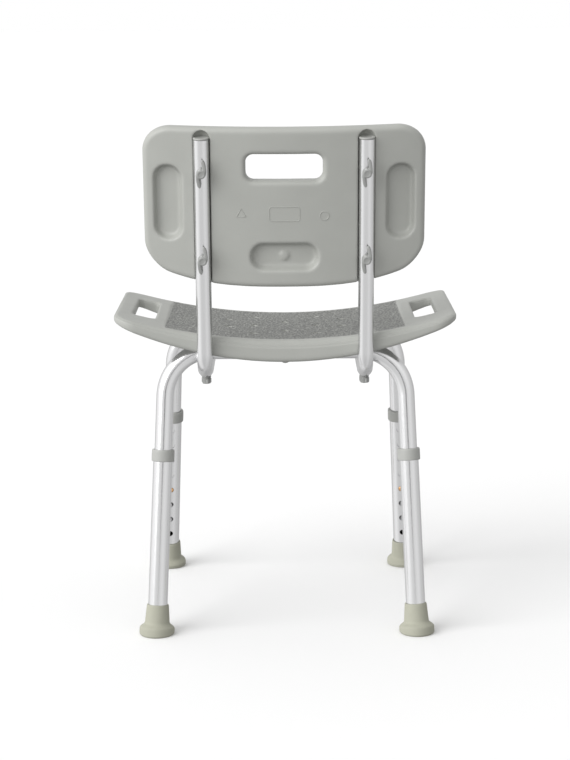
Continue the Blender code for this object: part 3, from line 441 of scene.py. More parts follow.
def axes(x, y, z):
    """The turn that lays the three axes along these directions."""
    return Matrix((x, y, z)).transposed().to_4x4()


def leg_matrix(leg):
    """Z up the leg's axis from the floor, Y the way its holes face."""
    up = -Vector(JOINTS[f"{leg}_leg_slide"]["axis"]).normalized()
    facing = -Vector(JOINTS[f"{leg}_button_press"]["axis"]).normalized()
    place = Matrix.Translation(MOUNTS[f"{leg}_foot_base"]["pos_m"])
    return place @ axes(facing.cross(up), facing, up)


def radial_matrix(hole):
    """In a leg's frame: Z out through a hole's middle, X up the leg. Hole 0 holds the button."""
    place = Matrix.Translation((0, 0, BUTTON_HEIGHT + hole * HOLE_PITCH))
    return place @ axes((0, 0, 1), (1, 0, 0), (0, 1, 0))


def screw_matrix(screw):
    """Z out of the knob's base along the screw's axis, Y along its wings."""
    joint = JOINTS[f"{screw}_screw_turn"]
    outward = Vector(joint["axis"]).normalized()
    across = Vector((-1, 0, 0)) if screw.startswith("back") else Vector((1, 0, 0))
    return Matrix.Translation(joint["pos_m"]) @ axes(across, outward.cross(across), outward)


def frame_matrix(end):
    """The plane of a leg frame: X across the chair, Y up the leaning plane, from the floor."""
    up = Vector((0, -end * math.sin(FORE_AFT_SPLAY), math.cos(FORE_AFT_SPLAY)))
    across = Vector((1, 0, 0))
    return SHIFT @ Matrix.Translation((0, end * LEG_Y, 0)) @ axes(across, up, across.cross(up))


def arm_matrix(side):
    """The plane of a back arm: X to the rear, Y up."""
    place = Matrix.Translation((side * ARM_X, 0, 0))
    return SHIFT @ place @ axes((0, 1, 0), (0, 0, 1), (1, 0, 0))


def back_matrix():
    """The back's frame: X to the sitter's right, Y up the posts, Z to the rear."""
    up = Vector((0, math.sin(RECLINE), math.cos(RECLINE)))
    rear = Vector((0, math.cos(RECLINE), -math.sin(RECLINE)))
    return SHIFT @ Matrix.Translation((0, POST_Y, POST_Z)) @ axes((-1, 0, 0), up, rear)


# --- Routes and surfaces ---


def frame_path():
    low = FRAME_END * AXIS_COS
    low_x = LEG_X - low * math.tan(SIDE_SPLAY)
    top_x = LEG_X - FRAME_RUN_Z * math.tan(SIDE_SPLAY)
    low_y = low / math.cos(FORE_AFT_SPLAY)
    top_y = FRAME_RUN_Z / math.cos(FORE_AFT_SPLAY)
    half = [((low_x, low_y, 0), 0), ((top_x, top_y, 0), FRAME_BEND_R)]
    other = [((-x, y, z), radius) for (x, y, z), radius in half]
    return rounded_path(other + half[::-1])


def frame_bend_x():
    """Where the frame's straight run ends and its bend begins."""
    lean = math.atan(math.tan(SIDE_SPLAY) * math.cos(FORE_AFT_SPLAY))
    corner_x = LEG_X - FRAME_RUN_Z * math.tan(SIDE_SPLAY)
    return corner_x - FRAME_BEND_R * math.tan((math.pi / 2 - lean) / 2)


def frame_drop(x, outward=0.0):
    """How far the frame tube has bent down at x from its straight run, on its axis or outside it."""
    radius = FRAME_BEND_R + outward
    past = min(max(abs(x) - frame_bend_x(), 0), radius)
    return radius - math.sqrt(radius**2 - past**2)


ARM_RUN_Z = JOINTS["seat_middle_left_screw_turn"]["pos_m"][2] + GAP + ARM_R


def arm_path():
    foot_y = POST_Y - (POST_Z - ARM_RUN_Z) * math.tan(RECLINE)
    top = (POST_Y + POST_TOP * math.sin(RECLINE), POST_Z + POST_TOP * math.cos(RECLINE), 0)
    front, foot = (ARM_FRONT_Y, ARM_RUN_Z, 0), (foot_y, ARM_RUN_Z, 0)
    return rounded_path([(front, 0), (foot, ARM_BEND_R), (top, 0)])


def seat_top(x, y):
    """The seat's top rises to both ends, and falls away a little over its front part."""
    past = max(WATERFALL_START_Y - y, 0) / (WATERFALL_START_Y - SEAT_FRONT_Y)
    return SEAT_TOP_Z + x * x / (2 * SEAT_SWEEP_R) - WATERFALL_DROP * past**2


def seat_bottom(x):
    """The seat thins out from its middle to its two ends."""
    depth = SEAT_DEPTH - (SEAT_DEPTH - SEAT_END_DEPTH) * (2 * x / SEAT_WIDTH) ** 2
    return SEAT_TOP_Z + x * x / (2 * SEAT_SWEEP_R) - depth


def place_on_seat(x, y, face, depth):
    """Skirt depths shrink with the seat's thickness towards its ends."""
    y += SEAT_MID_Y
    thickness = seat_top(x, y) - seat_bottom(x)
    depth *= thickness / SEAT_DEPTH
    if face == "top":
        return (x, y, seat_top(x, y) - depth)
    return (x, y, seat_bottom(x) + depth)


def back_rear(x):
    return BACK_REAR_MIDDLE - x * x / (2 * BACK_SWEEP_R)


def place_on_back(x, y, face, depth):
    """Bows the bottom edge down in the middle, and bends the panel round the sitter."""
    half = (BACK_TOP - BACK_BOTTOM) / 2
    share = (half - y) / (2 * half)
    rise = BACK_BOW * abs(2 * x / BACK_WIDTH) ** 3
    height = (BACK_TOP + BACK_BOTTOM) / 2 + y + share * rise
    if face == "top":
        return (x, height, back_rear(x) - depth)
    return (x, height, back_rear(x) - BACK_THICKNESS + depth)


def slab(name, half, corners, upper, under, surface, steps, place):
    """A panel through (inset, depth) levels from its top face round its edge to its bottom face."""
    rings = []
    for face, levels in (("top", upper), ("bottom", under)):
        for inset, depth in levels:
            outline = rounded_outline(
                half[0] - inset, half[1] - inset, corners[0] - inset, corners[1] - inset, *steps
            )
            rings.append([surface(x, y, face, depth) for x, y in outline])
    return ringed(name, rings, place)


def edge_levels(radius, steps=8):
    """(inset, depth) pairs round a quarter edge, from the face to the side."""
    return [(radius * (1 - math.sin(t)), radius * (1 - math.cos(t))) for t in turns(steps)]


# --- Materials ---


class Nodes:
    """The node tree of a material or a world, and the few node shapes that both share."""

    def __init__(self, owner):
        owner.use_nodes = True
        self.nodes = owner.node_tree.nodes
        self.links = owner.node_tree.links

    def node(self, kind, **values):
        node = self.nodes.new(kind)
        for key, value in values.items():
            setattr(node, key, value)
        return node

    def maths(self, operation, *values):
        node = self.node("ShaderNodeMath", operation=operation)
        for socket, value in zip(node.inputs, values):
            if isinstance(value, (int, float)):
                socket.default_value = value
            else:
                self.links.new(value, socket)
        return node.outputs[0]

    def split(self, vector):
        node = self.node("ShaderNodeSeparateXYZ")
        self.links.new(vector, node.inputs[0])
        return node.outputs


class Look(Nodes):
    """A Principled material."""

    def __init__(self, name, colour, roughness, metallic=0.0, specular=0.5):
        self.material = bpy.data.materials.new(name)
        super().__init__(self.material)
        self.shader = self.nodes["Principled BSDF"]
        self.shader.inputs["Base Color"].default_value = (*colour, 1)
        self.shader.inputs["Roughness"].default_value = roughness
        self.shader.inputs["Metallic"].default_value = metallic
        self.shader.inputs["Specular IOR Level"].default_value = specular
        self.material.diffuse_color = (*colour, 1)
        self.colour = colour
        self.height = None

    def coordinates(self, source="Object", scale=(1, 1, 1)):
        where = self.node("ShaderNodeTexCoord")
        mapping = self.node("ShaderNodeMapping")
        mapping.inputs["Scale"].default_value = scale
        self.links.new(where.outputs[source], mapping.inputs["Vector"])
        return mapping.outputs["Vector"]

    def noise(self, scale, detail=2.0, source="Object", stretch=(1, 1, 1)):
        noise = self.node("ShaderNodeTexNoise")
        noise.inputs["Scale"].default_value = scale
        noise.inputs["Detail"].default_value = detail
        self.links.new(self.coordinates(source, stretch), noise.inputs["Vector"])
        return noise.outputs["Fac"]

    def remap(self, value, low, high, from_low=0.0, from_high=1.0):
        remap = self.node("ShaderNodeMapRange")
        remap.inputs["From Min"].default_value = from_low
        remap.inputs["From Max"].default_value = from_high
        remap.inputs["To Min"].default_value = low
        remap.inputs["To Max"].default_value = high
        self.links.new(value, remap.inputs["Value"])
        return remap.outputs["Result"]

    def colour_mix(self, blend):
        """Sets the base colour by a mix, and gives the mix's factor and its two colours."""
        mix = self.node("ShaderNodeMix", data_type="RGBA", blend_type=blend)
        result = [socket for socket in mix.outputs if socket.type == "RGBA"][0]
        self.links.new(result, self.shader.inputs["Base Color"])
        return mix.inputs["Factor"], *(socket for socket in mix.inputs if socket.type == "RGBA")

    def tint(self, value, low, high):
        """Multiplies the base colour by low to high, as value goes from 0 to 1."""
        factor, *colours = self.colour_mix("MIX")
        self.links.new(value, factor)
        for socket, share in zip(colours, (low, high)):
            socket.default_value = (*(share * channel for channel in self.colour), 1)

    def shade(self, value):
        """Multiplies what sets the base colour by value: painted shade."""
        below = self.shader.inputs["Base Color"].links[0].from_socket
        factor, first, second = self.colour_mix("MULTIPLY")
        factor.default_value = 1.0
        self.links.new(below, first)
        self.links.new(value, second)

    def rough(self, value, low, high):
        self.links.new(self.remap(value, low, high), self.shader.inputs["Roughness"])

    def bump(self, height, distance, strength=1.0):
        """Adds a layer of relief, distance metres high."""
        bump = self.node("ShaderNodeBump")
        bump.inputs["Strength"].default_value = strength
        bump.inputs["Distance"].default_value = distance
        self.links.new(height, bump.inputs["Height"])
        if self.height:
            self.links.new(self.height, bump.inputs["Normal"])
        self.height = bump.outputs["Normal"]
        self.links.new(self.height, self.shader.inputs["Normal"])


def moulded(name, colour, roughness):
    """Blow-moulded polythene: a fine grain, a slow waviness and a faint mottle."""
    look = Look(name, colour, roughness)
    look.tint(look.noise(28, 3), 0.95, 1.05)
    look.rough(look.noise(60, 3), roughness - 0.05, roughness + 0.06)
    look.bump(look.noise(22, 1), 0.0008, 0.35)
    look.bump(look.noise(1500, 2), 0.00012, 0.5)
    return look


def skirt_steps(look, x, z):
    """The seat's skirt steps outwards twice below its rim. The steps keep their share of its depth."""
    squared = look.maths("MULTIPLY", x, x)
    rise = look.maths("MULTIPLY", squared, 1 / (2 * SEAT_SWEEP_R))
    below = look.maths("SUBTRACT", look.maths("ADD", rise, SEAT_TOP_Z), z)
    thinning = (SEAT_DEPTH - SEAT_END_DEPTH) * (2 / SEAT_WIDTH) ** 2
    depth = look.maths("SUBTRACT", SEAT_DEPTH, look.maths("MULTIPLY", squared, thinning))
    share = look.maths("DIVIDE", below, depth)
    height = 0.0
    for step in SKIRT_STEPS:
        height = look.maths("ADD", look.remap(share, 0, 1, step, step + SKIRT_STEP_WIDTH), height)
    return height


def pebbled(look):
    """The seat's non-slip field: close rounded pebbles on the top inside its rim, with painted shade darkening the
    pits between them.
    """
    x, y, z = look.split(look.coordinates())
    half_y = (SEAT_REAR_Y - SEAT_FRONT_Y) / 2 - SEAT_FIELD_INSET
    y_out = look.maths("ABSOLUTE", look.maths("SUBTRACT", y, SEAT_MID_Y + CHAIR_SHIFT))
    in_y = look.remap(y_out, 1, 0, half_y - FIELD_FADE, half_y)
    x_out = look.maths("ABSOLUTE", x)
    in_x = look.remap(x_out, 1, 0, SEAT_FIELD_X - FIELD_FADE, SEAT_FIELD_X)
    normal = look.node("ShaderNodeNewGeometry").outputs["Normal"]
    upward = look.remap(look.split(normal)[2], 0, 1, 0.80, 0.92)
    field = look.maths("MULTIPLY", look.maths("MULTIPLY", in_x, in_y), upward)
    cells = look.node("ShaderNodeTexVoronoi", feature="SMOOTH_F1")
    cells.inputs["Scale"].default_value = PEBBLES_PER_METRE
    cells.inputs["Smoothness"].default_value = 0.2
    look.links.new(look.coordinates(), cells.inputs["Vector"])
    pebble = look.remap(cells.outputs["Distance"], 1, 0, 0.12, 0.62)
    look.bump(look.maths("SUBTRACT", 1.0, field), SEAT_FIELD_DEPTH)
    look.bump(look.maths("MULTIPLY", pebble, field), PEBBLE_HEIGHT)
    look.bump(skirt_steps(look, x, z), SKIRT_STEP, 0.6)
    # Painted shade: inside the field the base colour darkens to 0.30 in the pits between the pebbles and stays
    # full on their tops.
    shade = look.maths("ADD", look.maths("MULTIPLY", look.remap(pebble, -1, 0.10), field), 1.0)
    look.shade(look.remap(shade, 0.30, 1.00))
    return look


def aluminium(name):
    """Satin anodised tube, with the faint lines that drawing leaves along it."""
    look = Look(name, (0.72, 0.72, 0.725), 0.24, metallic=1.0)
    lines = look.noise(1, 3, "UV", (2600, 9, 1))
    look.tint(lines, 0.95, 1.03)
    look.rough(lines, 0.16, 0.28)
    look.bump(lines, 0.00004, 0.5)
    look.bump(look.noise(900, 2), 0.00003, 0.4)
    return look


def metal(name, colour, roughness):
    look = Look(name, colour, roughness, metallic=1.0)
    look.tint(look.noise(400, 3), 0.88, 1.06)
    look.rough(look.noise(250, 2), roughness - 0.08, roughness + 0.10)
    return look


def rubber(name):
    look = Look(name, (0.42, 0.42, 0.345), 0.72, specular=0.35)
    look.tint(look.noise(90, 3), 0.92, 1.06)
    look.rough(look.noise(180, 3), 0.64, 0.82)
    look.bump(look.noise(1200, 3), 0.00015, 0.6)
    return look


PLASTIC = moulded("moulded_plastic", (0.42, 0.427, 0.40), 0.42)
SEAT_PLASTIC = pebbled(moulded("pebbled_plastic", (0.42, 0.427, 0.40), 0.42))
FITTING = moulded("grey_fitting", (0.42, 0.425, 0.405), 0.45)
KNOB_PLASTIC = moulded("knob_plastic", (0.34, 0.345, 0.335), 0.40)
ALUMINIUM = aluminium("satin_aluminium")
STEEL = metal("zinc_steel", (0.62, 0.62, 0.60), 0.34)
BRASS = metal("brass", (0.72, 0.42, 0.20), 0.30)
RUBBER = rubber("grey_rubber")


# --- Seat and back ---


def cutter_on(name, surface, centre, size, corner_r, levels, steps, place):
    """A cutter that follows a surface: outlines grown by levels' first value, at its second one."""
    rings = []
    for grow, height in levels:
        half_x, half_y = (length / 2 + grow for length in size)
        outline = rounded_outline(half_x, half_y, corner_r + grow, corner_r + grow, *steps)
        rings.append([surface(centre[0] + x, centre[1] + y, height) for x, y in outline])
    return ringed(name, rings, place)


def on_seat_top(x, y, height):
    return (x, y, seat_top(x, y) + height)


def through_seat(x, y, share):
    """share 1 is the seat's top, 0 its bottom."""
    return (x, y, seat_bottom(x) + share * (seat_top(x, y) - seat_bottom(x)))


def hole_cutter(name, centre, size, corner_r, flare, thickness, steps):
    """A hole through the seat with both its mouths rounded out by flare."""
    bottom = [(flare * (1 - math.sin(t)), flare / thickness * (1 - math.cos(t))) for t in turns(5)]
    top = [(grow, 1 - share) for grow, share in reversed(bottom)]
    levels = [(flare, -1)] + bottom + top + [(flare, 2)]
    return cutter_on(name, through_seat, centre, size, corner_r, levels, steps, SHIFT)


def drain_cutters():
    size = (2 * DRAIN_R, 2 * DRAIN_R)
    cutters = []
    for column, rows in DRAIN_COLUMNS:
        for x in sorted({column, -column}):
            for y in rows:
                hole = hole_cutter("drain", (x, y), size, DRAIN_R, DRAIN_FLARE, SEAT_DEPTH, (5, 2))
                cutters.append(hole)
    return cutters


def handle_cutter(side):
    centre = (side * HANDLE_X, HANDLE_Y)
    size, corner_r = HANDLE_SIZE, HANDLE_CORNER_R
    return hole_cutter("handle", centre, size, corner_r, HANDLE_FLARE, SEAT_DEPTH / 2, (6, 6))


def field_cutter():
    """Sinks the pebbled field a little below the smooth rim round it."""
    size = (2 * SEAT_FIELD_X, SEAT_REAR_Y - SEAT_FRONT_Y - 2 * SEAT_FIELD_INSET)
    levels = ((-0.0012, -SEAT_FIELD_DEPTH), (0.0006, 0.0002), (0.0006, SEAT_DEPTH))
    middle = (0, SEAT_MID_Y)
    return cutter_on("field", on_seat_top, middle, size, FIELD_CORNER_R, levels, (6, 40), SHIFT)


def frame_channel_cutters():
    """The seat's underside is channelled for both leg frames and their bends, open downwards."""
    radius = FRAME_R + FRAME_CHANNEL_GAP
    bend = FRAME_CHANNEL_BEND * FRAME_BEND_R
    stations = [frame_bend_x() + bend * step / BEND_STEPS for step in range(BEND_STEPS + 1)]
    cutters = []
    for end in ENDS.values():
        rings = []
        for x in [-x for x in reversed(stations)] + stations:
            drop = frame_drop(x)
            y = end * (FRAME_RUN_Y + drop * math.tan(FORE_AFT_SPLAY))
            z = FRAME_RUN_Z - drop
            rise = radius + drop - frame_drop(x, radius)
            section = arch(radius, rise, -2 * SEAT_DEPTH)
            rings.append([(x, y + across, z + height) for across, height in section])
        cutters.append(ringed("channel", rings, SHIFT))
    return cutters


def seat_solid():
    """The seat's body with its bosses and its notches for the arms, before it is softened."""
    half = (SEAT_WIDTH / 2, (SEAT_REAR_Y - SEAT_FRONT_Y) / 2)
    upper = [(inset, 0.0) for inset in (0.130, 0.110, 0.090, 0.070, 0.050, 0.030)]
    upper += [*SEAT_RIM, *SEAT_SKIRT, *SEAT_SIDE]
    under = [*SEAT_UNDER_EDGE, (0.060, 0.0), (0.110, 0.0)]
    corners = (SEAT_CORNER_R, SEAT_CORNER_R)
    seat = slab("seat_shell", half, corners, upper, under, place_on_seat, (12, 60), SHIFT)
    boss_low = ARM_RUN_Z + ARM_R + BOSS_GAP
    boss_high = seat_bottom(ARM_X) + SEAT_DEPTH / 4
    tools = []
    for side in SIDES.values():
        place = SHIFT @ Matrix.Translation((side * ARM_X, MIDDLE_SCREW_Y, 0))
        tools.append((cylinder("boss", BOSS_R, boss_low, boss_high, place), "UNION"))
    place = SHIFT @ Matrix.Translation((0, SEAT_REAR_Y - NUB_INSET, 0))
    nub = cylinder("nub", NUB_R, seat_bottom(0) - NUB_PROUD, seat_bottom(0) + NUB_ROOT, place)
    tools.append((nub, "UNION"))
    cutters = []
    for side in SIDES.values():
        saddle = tube_mesh("saddle", arm_path(), ARM_R + SADDLE_GAP, SADDLE_BORE, 32)
        cutters.append(add("saddle", saddle, arm_matrix(side)))
    cutters += frame_channel_cutters()
    cutters += [handle_cutter(side) for side in SIDES.values()]
    cutters += drain_cutters() + [field_cutter()]
    tools += [(cutter, "DIFFERENCE") for cutter in cutters]
    for tool, operation in tools:
        boolean(seat, tool, operation)
    return seat, [tool for tool, _ in tools]


def insert_bores(screws):
    """Bores for the brass inserts, cut after the softening so that they stay sharp."""
    bores = []
    for screw in screws:
        low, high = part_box(f"{screw}_insert")
        matrix = screw_matrix(screw)
        middle = matrix.inverted() @ ((low + high) / 2)
        reach = INSERT_LENGTH / 2 + GAP
        low_end, high_end = middle.z - reach, middle.z + reach + INSERT_R
        bores.append(cylinder("bore", INSERT_R + GAP, low_end, high_end, matrix))
    return bores


def screws_of(*starts):
    names = [name[: -len("_screw_turn")] for name in JOINTS if name.endswith("_screw_turn")]
    return [name for name in names if name.startswith(starts)]


def make_seat():
    seat, tools = seat_solid()
    soften(seat, PANEL_VOXEL, 3)
    finished(seat, cutters=tools)
    carved(seat, insert_bores(screws_of("seat")), SEAT_PLASTIC.material)
    shown(seat, "chair", "moulded_plastic", "seat")


def on_back(x, height, depth):
    return (x, height, back_rear(x) + depth)


def pocket_cutter(name, centre, floor, rim):
    """A recess whose wall runs in one smooth S from its floor out to the panel's face."""
    depth = POCKET_DEPTH + POCKET_DISH
    steps = 14
    levels = []
    for step in range(steps + 1):
        share = step / steps
        levels.append((rim * share, -depth * (0.5 + 0.5 * math.cos(math.pi * share**1.15))))
    levels += [(rim + 0.003, 0.0012), (rim + 0.003, CUTTER_PAST_FACE)]
    corner_r = min(floor) / 2 - 0.001
    return cutter_on(name, on_back, centre, floor, corner_r, levels, (10, 8), back_matrix())


def slot_cutter():
    """The hand slot, its rear mouth rounded out and its front one a little wider than its middle."""
    levels = [(SLOT_TAPER, -2 * BACK_THICKNESS), (SLOT_TAPER, -BACK_THICKNESS)]
    levels.append((0.0, -BACK_THICKNESS + 0.003))
    for t in turns(9):
        levels.append((SLOT_FLARE * (1 - math.cos(t)), -SLOT_FLARE * (1 - math.sin(t)) * 1.2))
    levels += [(SLOT_FLARE + 0.003, 0.0006), (SLOT_FLARE + 0.003, CUTTER_PAST_FACE)]
    middle = (0, SLOT_HEIGHT)
    size, corner_r = SLOT_SIZE, SLOT_CORNER_R
    return cutter_on("slot", on_back, middle, size, corner_r, levels, (8, 24), back_matrix())


def post_channel_cutter(side):
    """A round-bottomed channel for the post, open to the rear, its upper end round."""
    radius = ARM_R + CHANNEL_GAP
    top = POST_TOP + PLUG_CAP + CHANNEL_PAST_POST
    levels = [(0, 1.0)]
    levels += [(top - radius + radius * math.sin(t), math.cos(t)) for t in turns(12)[:-1]]
    rings = []
    for height, share in levels:
        section = arch(radius * share, -radius * share, 3 * ARM_R)
        rings.append([(across, height, depth) for across, depth in section])
    place = back_matrix() @ Matrix.Translation((-side * ARM_X, 0, 0))
    return ringed("post_channel", rings, place)


def make_back():
    half = (BACK_WIDTH / 2, (BACK_TOP - BACK_BOTTOM) / 2)
    corners = (BACK_TOP_CORNER_R, BACK_BOTTOM_CORNER_R)
    upper = [(inset, 0.0) for inset in (0.100, 0.070, 0.040, 0.020)] + edge_levels(BACK_EDGE_R)
    under = list(reversed(upper))
    steps = (14, 60)
    back = slab("back_shell", half, corners, upper, under, place_on_back, steps, back_matrix())
    cutters = [slot_cutter()]
    low = (0, LOW_POCKET_HEIGHT)
    cutters.append(pocket_cutter("low_pocket", low, LOW_POCKET_FLOOR, LOW_POCKET_RIM))
    for side in SIDES.values():
        centre = (-side * SIDE_POCKET_X, SIDE_POCKET_HEIGHT)
        cutters.append(pocket_cutter("side_pocket", centre, SIDE_POCKET_FLOOR, SIDE_POCKET_RIM))
        cutters.append(post_channel_cutter(side))
    for cutter in cutters:
        boolean(back, cutter)
    place = back_matrix() @ Matrix.Translation((*low, back_rear(0) - POCKET_DEPTH))
    boss = cylinder("boss", LOW_BOSS_R, -LOW_BOSS_ROOT, LOW_BOSS_TOP, place)
    boolean(back, boss, "UNION")
    soften(back, PANEL_VOXEL, 4)
    finished(back, cutters=cutters + [boss])
    carved(back, insert_bores(screws_of("back")), PLASTIC.material)
    shown(back, "chair", "moulded_plastic", "back_panel")


def raised_line(name, points):
    """A fine moulded line that stands off the back panel's rear face, closed on itself."""
    curve = bpy.data.curves.new(name, "CURVE")
    curve.dimensions = "3D"
    curve.bevel_depth = MARK_LINE_R
    curve.bevel_resolution = 3
    spline = curve.splines.new("POLY")
    spline.use_cyclic_u = True
    spline.points.add(len(points) - 1)
    for point, (x, height) in zip(spline.points, points):
        point.co = (x, height, back_rear(x) + MARK_SUNK, 1)
    bent = add(name, curve, back_matrix())
    bpy.context.view_layer.update()
    graph = bpy.context.evaluated_depsgraph_get()
    mesh = bpy.data.meshes.new_from_object(bent.evaluated_get(graph))
    bpy.data.objects.remove(bent, do_unlink=True)
    line = finished(add(name, mesh, back_matrix()), PLASTIC.material)
    shade_round(line)
    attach(line, "chair")


def make_raised_lines():
    """A plain label frame between a plain triangle and a plain ring."""
    outline = rounded_outline(*LABEL_HALF, LABEL_CORNER_R, LABEL_CORNER_R, 5, 12)
    raised_line("moulded_label_frame", [(x, MARK_HEIGHT + y) for x, y in outline])
    middle = MARK_HEIGHT - RING_DROP
    ring = [(RING_X + RING_R * math.cos(t), middle + RING_R * math.sin(t)) for t in circle(40)]
    raised_line("moulded_ring", ring)
    corners = [Vector((math.sin(t), math.cos(t))) for t in circle(3)]
    triangle = []
    for first, second in zip(corners, corners[1:] + corners[:1]):
        triangle += [first.lerp(second, step / 8) for step in range(8)]
    points = [(TRIANGLE_X + TRIANGLE_R * p.x, MARK_HEIGHT + TRIANGLE_R * p.y) for p in triangle]
    raised_line("moulded_triangle", points)


# --- Tubes ---


def screw_holes(screws):
    reach = (-SCREW_HOLE_REACH, STUD_IN_KNOB)
    return [cylinder("hole", TUBE_HOLE_R, *reach, screw_matrix(screw), 24) for screw in screws]


def make_frames():
    for end_name, end in ENDS.items():
        mesh = tube_mesh(f"{end_name}_frame_tube", frame_path(), FRAME_R, FRAME_R - FRAME_WALL)
        tube = add(f"{end_name}_frame_tube", mesh, frame_matrix(end))
        holes = screw_holes(screws_of(f"seat_{end_name}"))
        for side in SIDES:
            place = leg_matrix(f"{end_name}_{side}") @ radial_matrix(0)
            holes.append(cylinder("hole", HOLE_R, 0, 2 * FRAME_R, place, 32))
        carved(tube, holes, ALUMINIUM.material, "EXACT")
        shown(tube, "chair", "aluminium_tube", f"{end_name}_frame")


def plug_profile():
    """A cap with a shallow dished top on a stem, its underside just clear of the tube's end."""
    stem_r = ARM_R - ARM_WALL - GAP
    cap = [
        (0, GAP + PLUG_CAP - PLUG_DISH),
        (ARM_R - 0.0036, GAP + PLUG_CAP - PLUG_DISH),
        (ARM_R - 0.0028, GAP + PLUG_CAP),
        (ARM_R, GAP + PLUG_CAP),
        (ARM_R, GAP),
        (stem_r, GAP),
        (stem_r, -PLUG_STEM),
        (0, -PLUG_STEM),
    ]
    return rounded(cap, 0.0007)


def make_arms():
    plug = turned_mesh("plug", plug_profile())
    plug.materials.append(FITTING.material)
    for name, side in SIDES.items():
        mesh = tube_mesh(f"arm_tube_{name}", arm_path(), ARM_R, ARM_R - ARM_WALL)
        tube = add(f"arm_tube_{name}", mesh, arm_matrix(side))
        mine = [s for s in screws_of("seat_rear", "seat_middle", "back") if s.endswith(name)]
        carved(tube, screw_holes(mine), ALUMINIUM.material, "EXACT")
        shown(tube, "chair", "aluminium_tube", f"back_arm_{name}")
        top = back_matrix() @ Matrix.Translation((-side * ARM_X, POST_TOP, 0))
        front = SHIFT @ Matrix.Translation((side * ARM_X, ARM_FRONT_Y, ARM_RUN_Z))
        places = {
            f"arm_top_plug_{name}": top @ Matrix.Rotation(-math.pi / 2, 4, "X"),
            f"arm_end_plug_{name}": front @ Matrix.Rotation(math.pi / 2, 4, "X"),
        }
        for node, place in places.items():
            piece = finished(add(f"{node}_cap", plug.copy(), place))
            shown(piece, "chair", "grey_fitting", node)


# --- Legs ---


def collar_mesh():
    top = LEG_TOP + GAP + COLLAR_LIP
    bottom = top - COLLAR_HEIGHT
    bore, lip = LEG_R + GAP, FRAME_R + GAP
    outside = [
        (lip, top),
        (COLLAR_R - 0.0004, top),
        (COLLAR_R, top - 0.0030),
        (COLLAR_R, bottom + 0.0010),
        (COLLAR_R - 0.0006, bottom),
        (bore, bottom),
    ]
    inside = [(bore, LEG_TOP + GAP), (lip, LEG_TOP + GAP)]
    return turned_mesh("collar", rounded(outside, 0.0009) + inside)


def foot_mesh(matrix):
    """A rubber tip. Its sleeve follows the leaning leg and its flange lies flat on the floor."""
    bore = LEG_R + GAP
    inside = LEG_BOTTOM - GAP
    outside = [
        (bore, FOOT_HEIGHT - 0.0006),
        (0.0154, FOOT_HEIGHT),
        (0.0161, FOOT_HEIGHT - 0.0020),
        (0.0180, 0.0168),
        (0.0192, 0.0146),
        (0.0228, 0.0120),
        (0.0250, 0.0100),
        (FOOT_FLANGE_R, 0.0076),
        (FOOT_FLANGE_R, 0.0016),
        (FOOT_FLANGE_R - 0.0014, 0.0),
        (0.0205, 0.0),
    ]
    rings = []
    for radius in (0.0180, 0.0140, 0.0100):
        for step, depth in ((0.0009, 0.0), (0.0004, 0.0012), (-0.0004, 0.0012), (-0.0009, 0.0)):
            rings.append((radius + step, depth))
    base = [(0.0, 0.0), (0.0, inside), (bore, inside)]
    mesh = turned_mesh("foot", rounded(outside, 0.0018) + rings + base)
    tilt = matrix.to_3x3()
    across, facing, up = (tilt @ Vector(axis) for axis in ((1, 0, 0), (0, 1, 0), (0, 0, 1)))
    for axis in (across, facing):
        axis.z = 0
        axis.normalize()
    for vertex in mesh.vertices:
        level = min(max(1 - vertex.co.z / inside, 0), 1)
        upright = across * vertex.co.x + facing * vertex.co.y + up * vertex.co.z
        vertex.co = tilt.inverted() @ (tilt @ vertex.co).lerp(upright, level)
    return mesh


def button_mesh():
    bore = FRAME_R - FRAME_WALL
    flange_top = math.sqrt(bore**2 - BUTTON_FLANGE_R**2) - GAP
    tip = LEG_R + BUTTON_PROUD
    dome = []
    for t in turns(8):
        dome.append((BUTTON_R * math.sin(t), tip - 0.0018 * (1 - math.cos(t))))
    shaft = [(BUTTON_R, flange_top), (BUTTON_FLANGE_R, flange_top)]
    foot = [(BUTTON_FLANGE_R, flange_top - BUTTON_FLANGE), (0, flange_top - BUTTON_FLANGE)]
    return turned_mesh("button", dome + shaft + foot, SMALL_SIDES)


def make_leg(leg):
    matrix = leg_matrix(leg)
    body = f"{leg}_lower_leg"
    length = LEG_TOP - LEG_BOTTOM
    along = axes((0, 0, 1), (1, 0, 0), (0, 1, 0))
    path = [Vector((0, 0, 0)), Vector((length, 0, 0))]
    upright = matrix @ Matrix.Translation((0, 0, LEG_BOTTOM)) @ along
    tube = add(f"{leg}_lower_tube", tube_mesh("lower_tube", path, LEG_R, LEG_INNER_R, 96), upright)
    holes = [
        cylinder("hole", HOLE_R, 0, 2 * LEG_R, matrix @ radial_matrix(hole), 40)
        for hole in range(-HOLES_BELOW_BUTTON, HOLES_ABOVE_BUTTON + 1)
    ]
    carved(tube, holes, ALUMINIUM.material, "EXACT")
    shown(tube, body, "aluminium_tube", f"{leg}_leg_tube")
    collar = finished(add(f"{leg}_collar_ring", collar_mesh(), matrix), FITTING.material)
    shown(collar, body, "grey_fitting", f"{leg}_collar")
    foot = finished(add(f"{leg}_rubber_tip", foot_mesh(matrix), matrix), RUBBER.material)
    shown(foot, body, "grey_rubber", f"{leg}_foot")
    button = add(f"{leg}_button_dome", button_mesh(), matrix @ radial_matrix(0))
    finished(button, BRASS.material)
    shown(button, f"{leg}_button", "brass", f"{leg}_snap_button")


# --- Wing screws ---


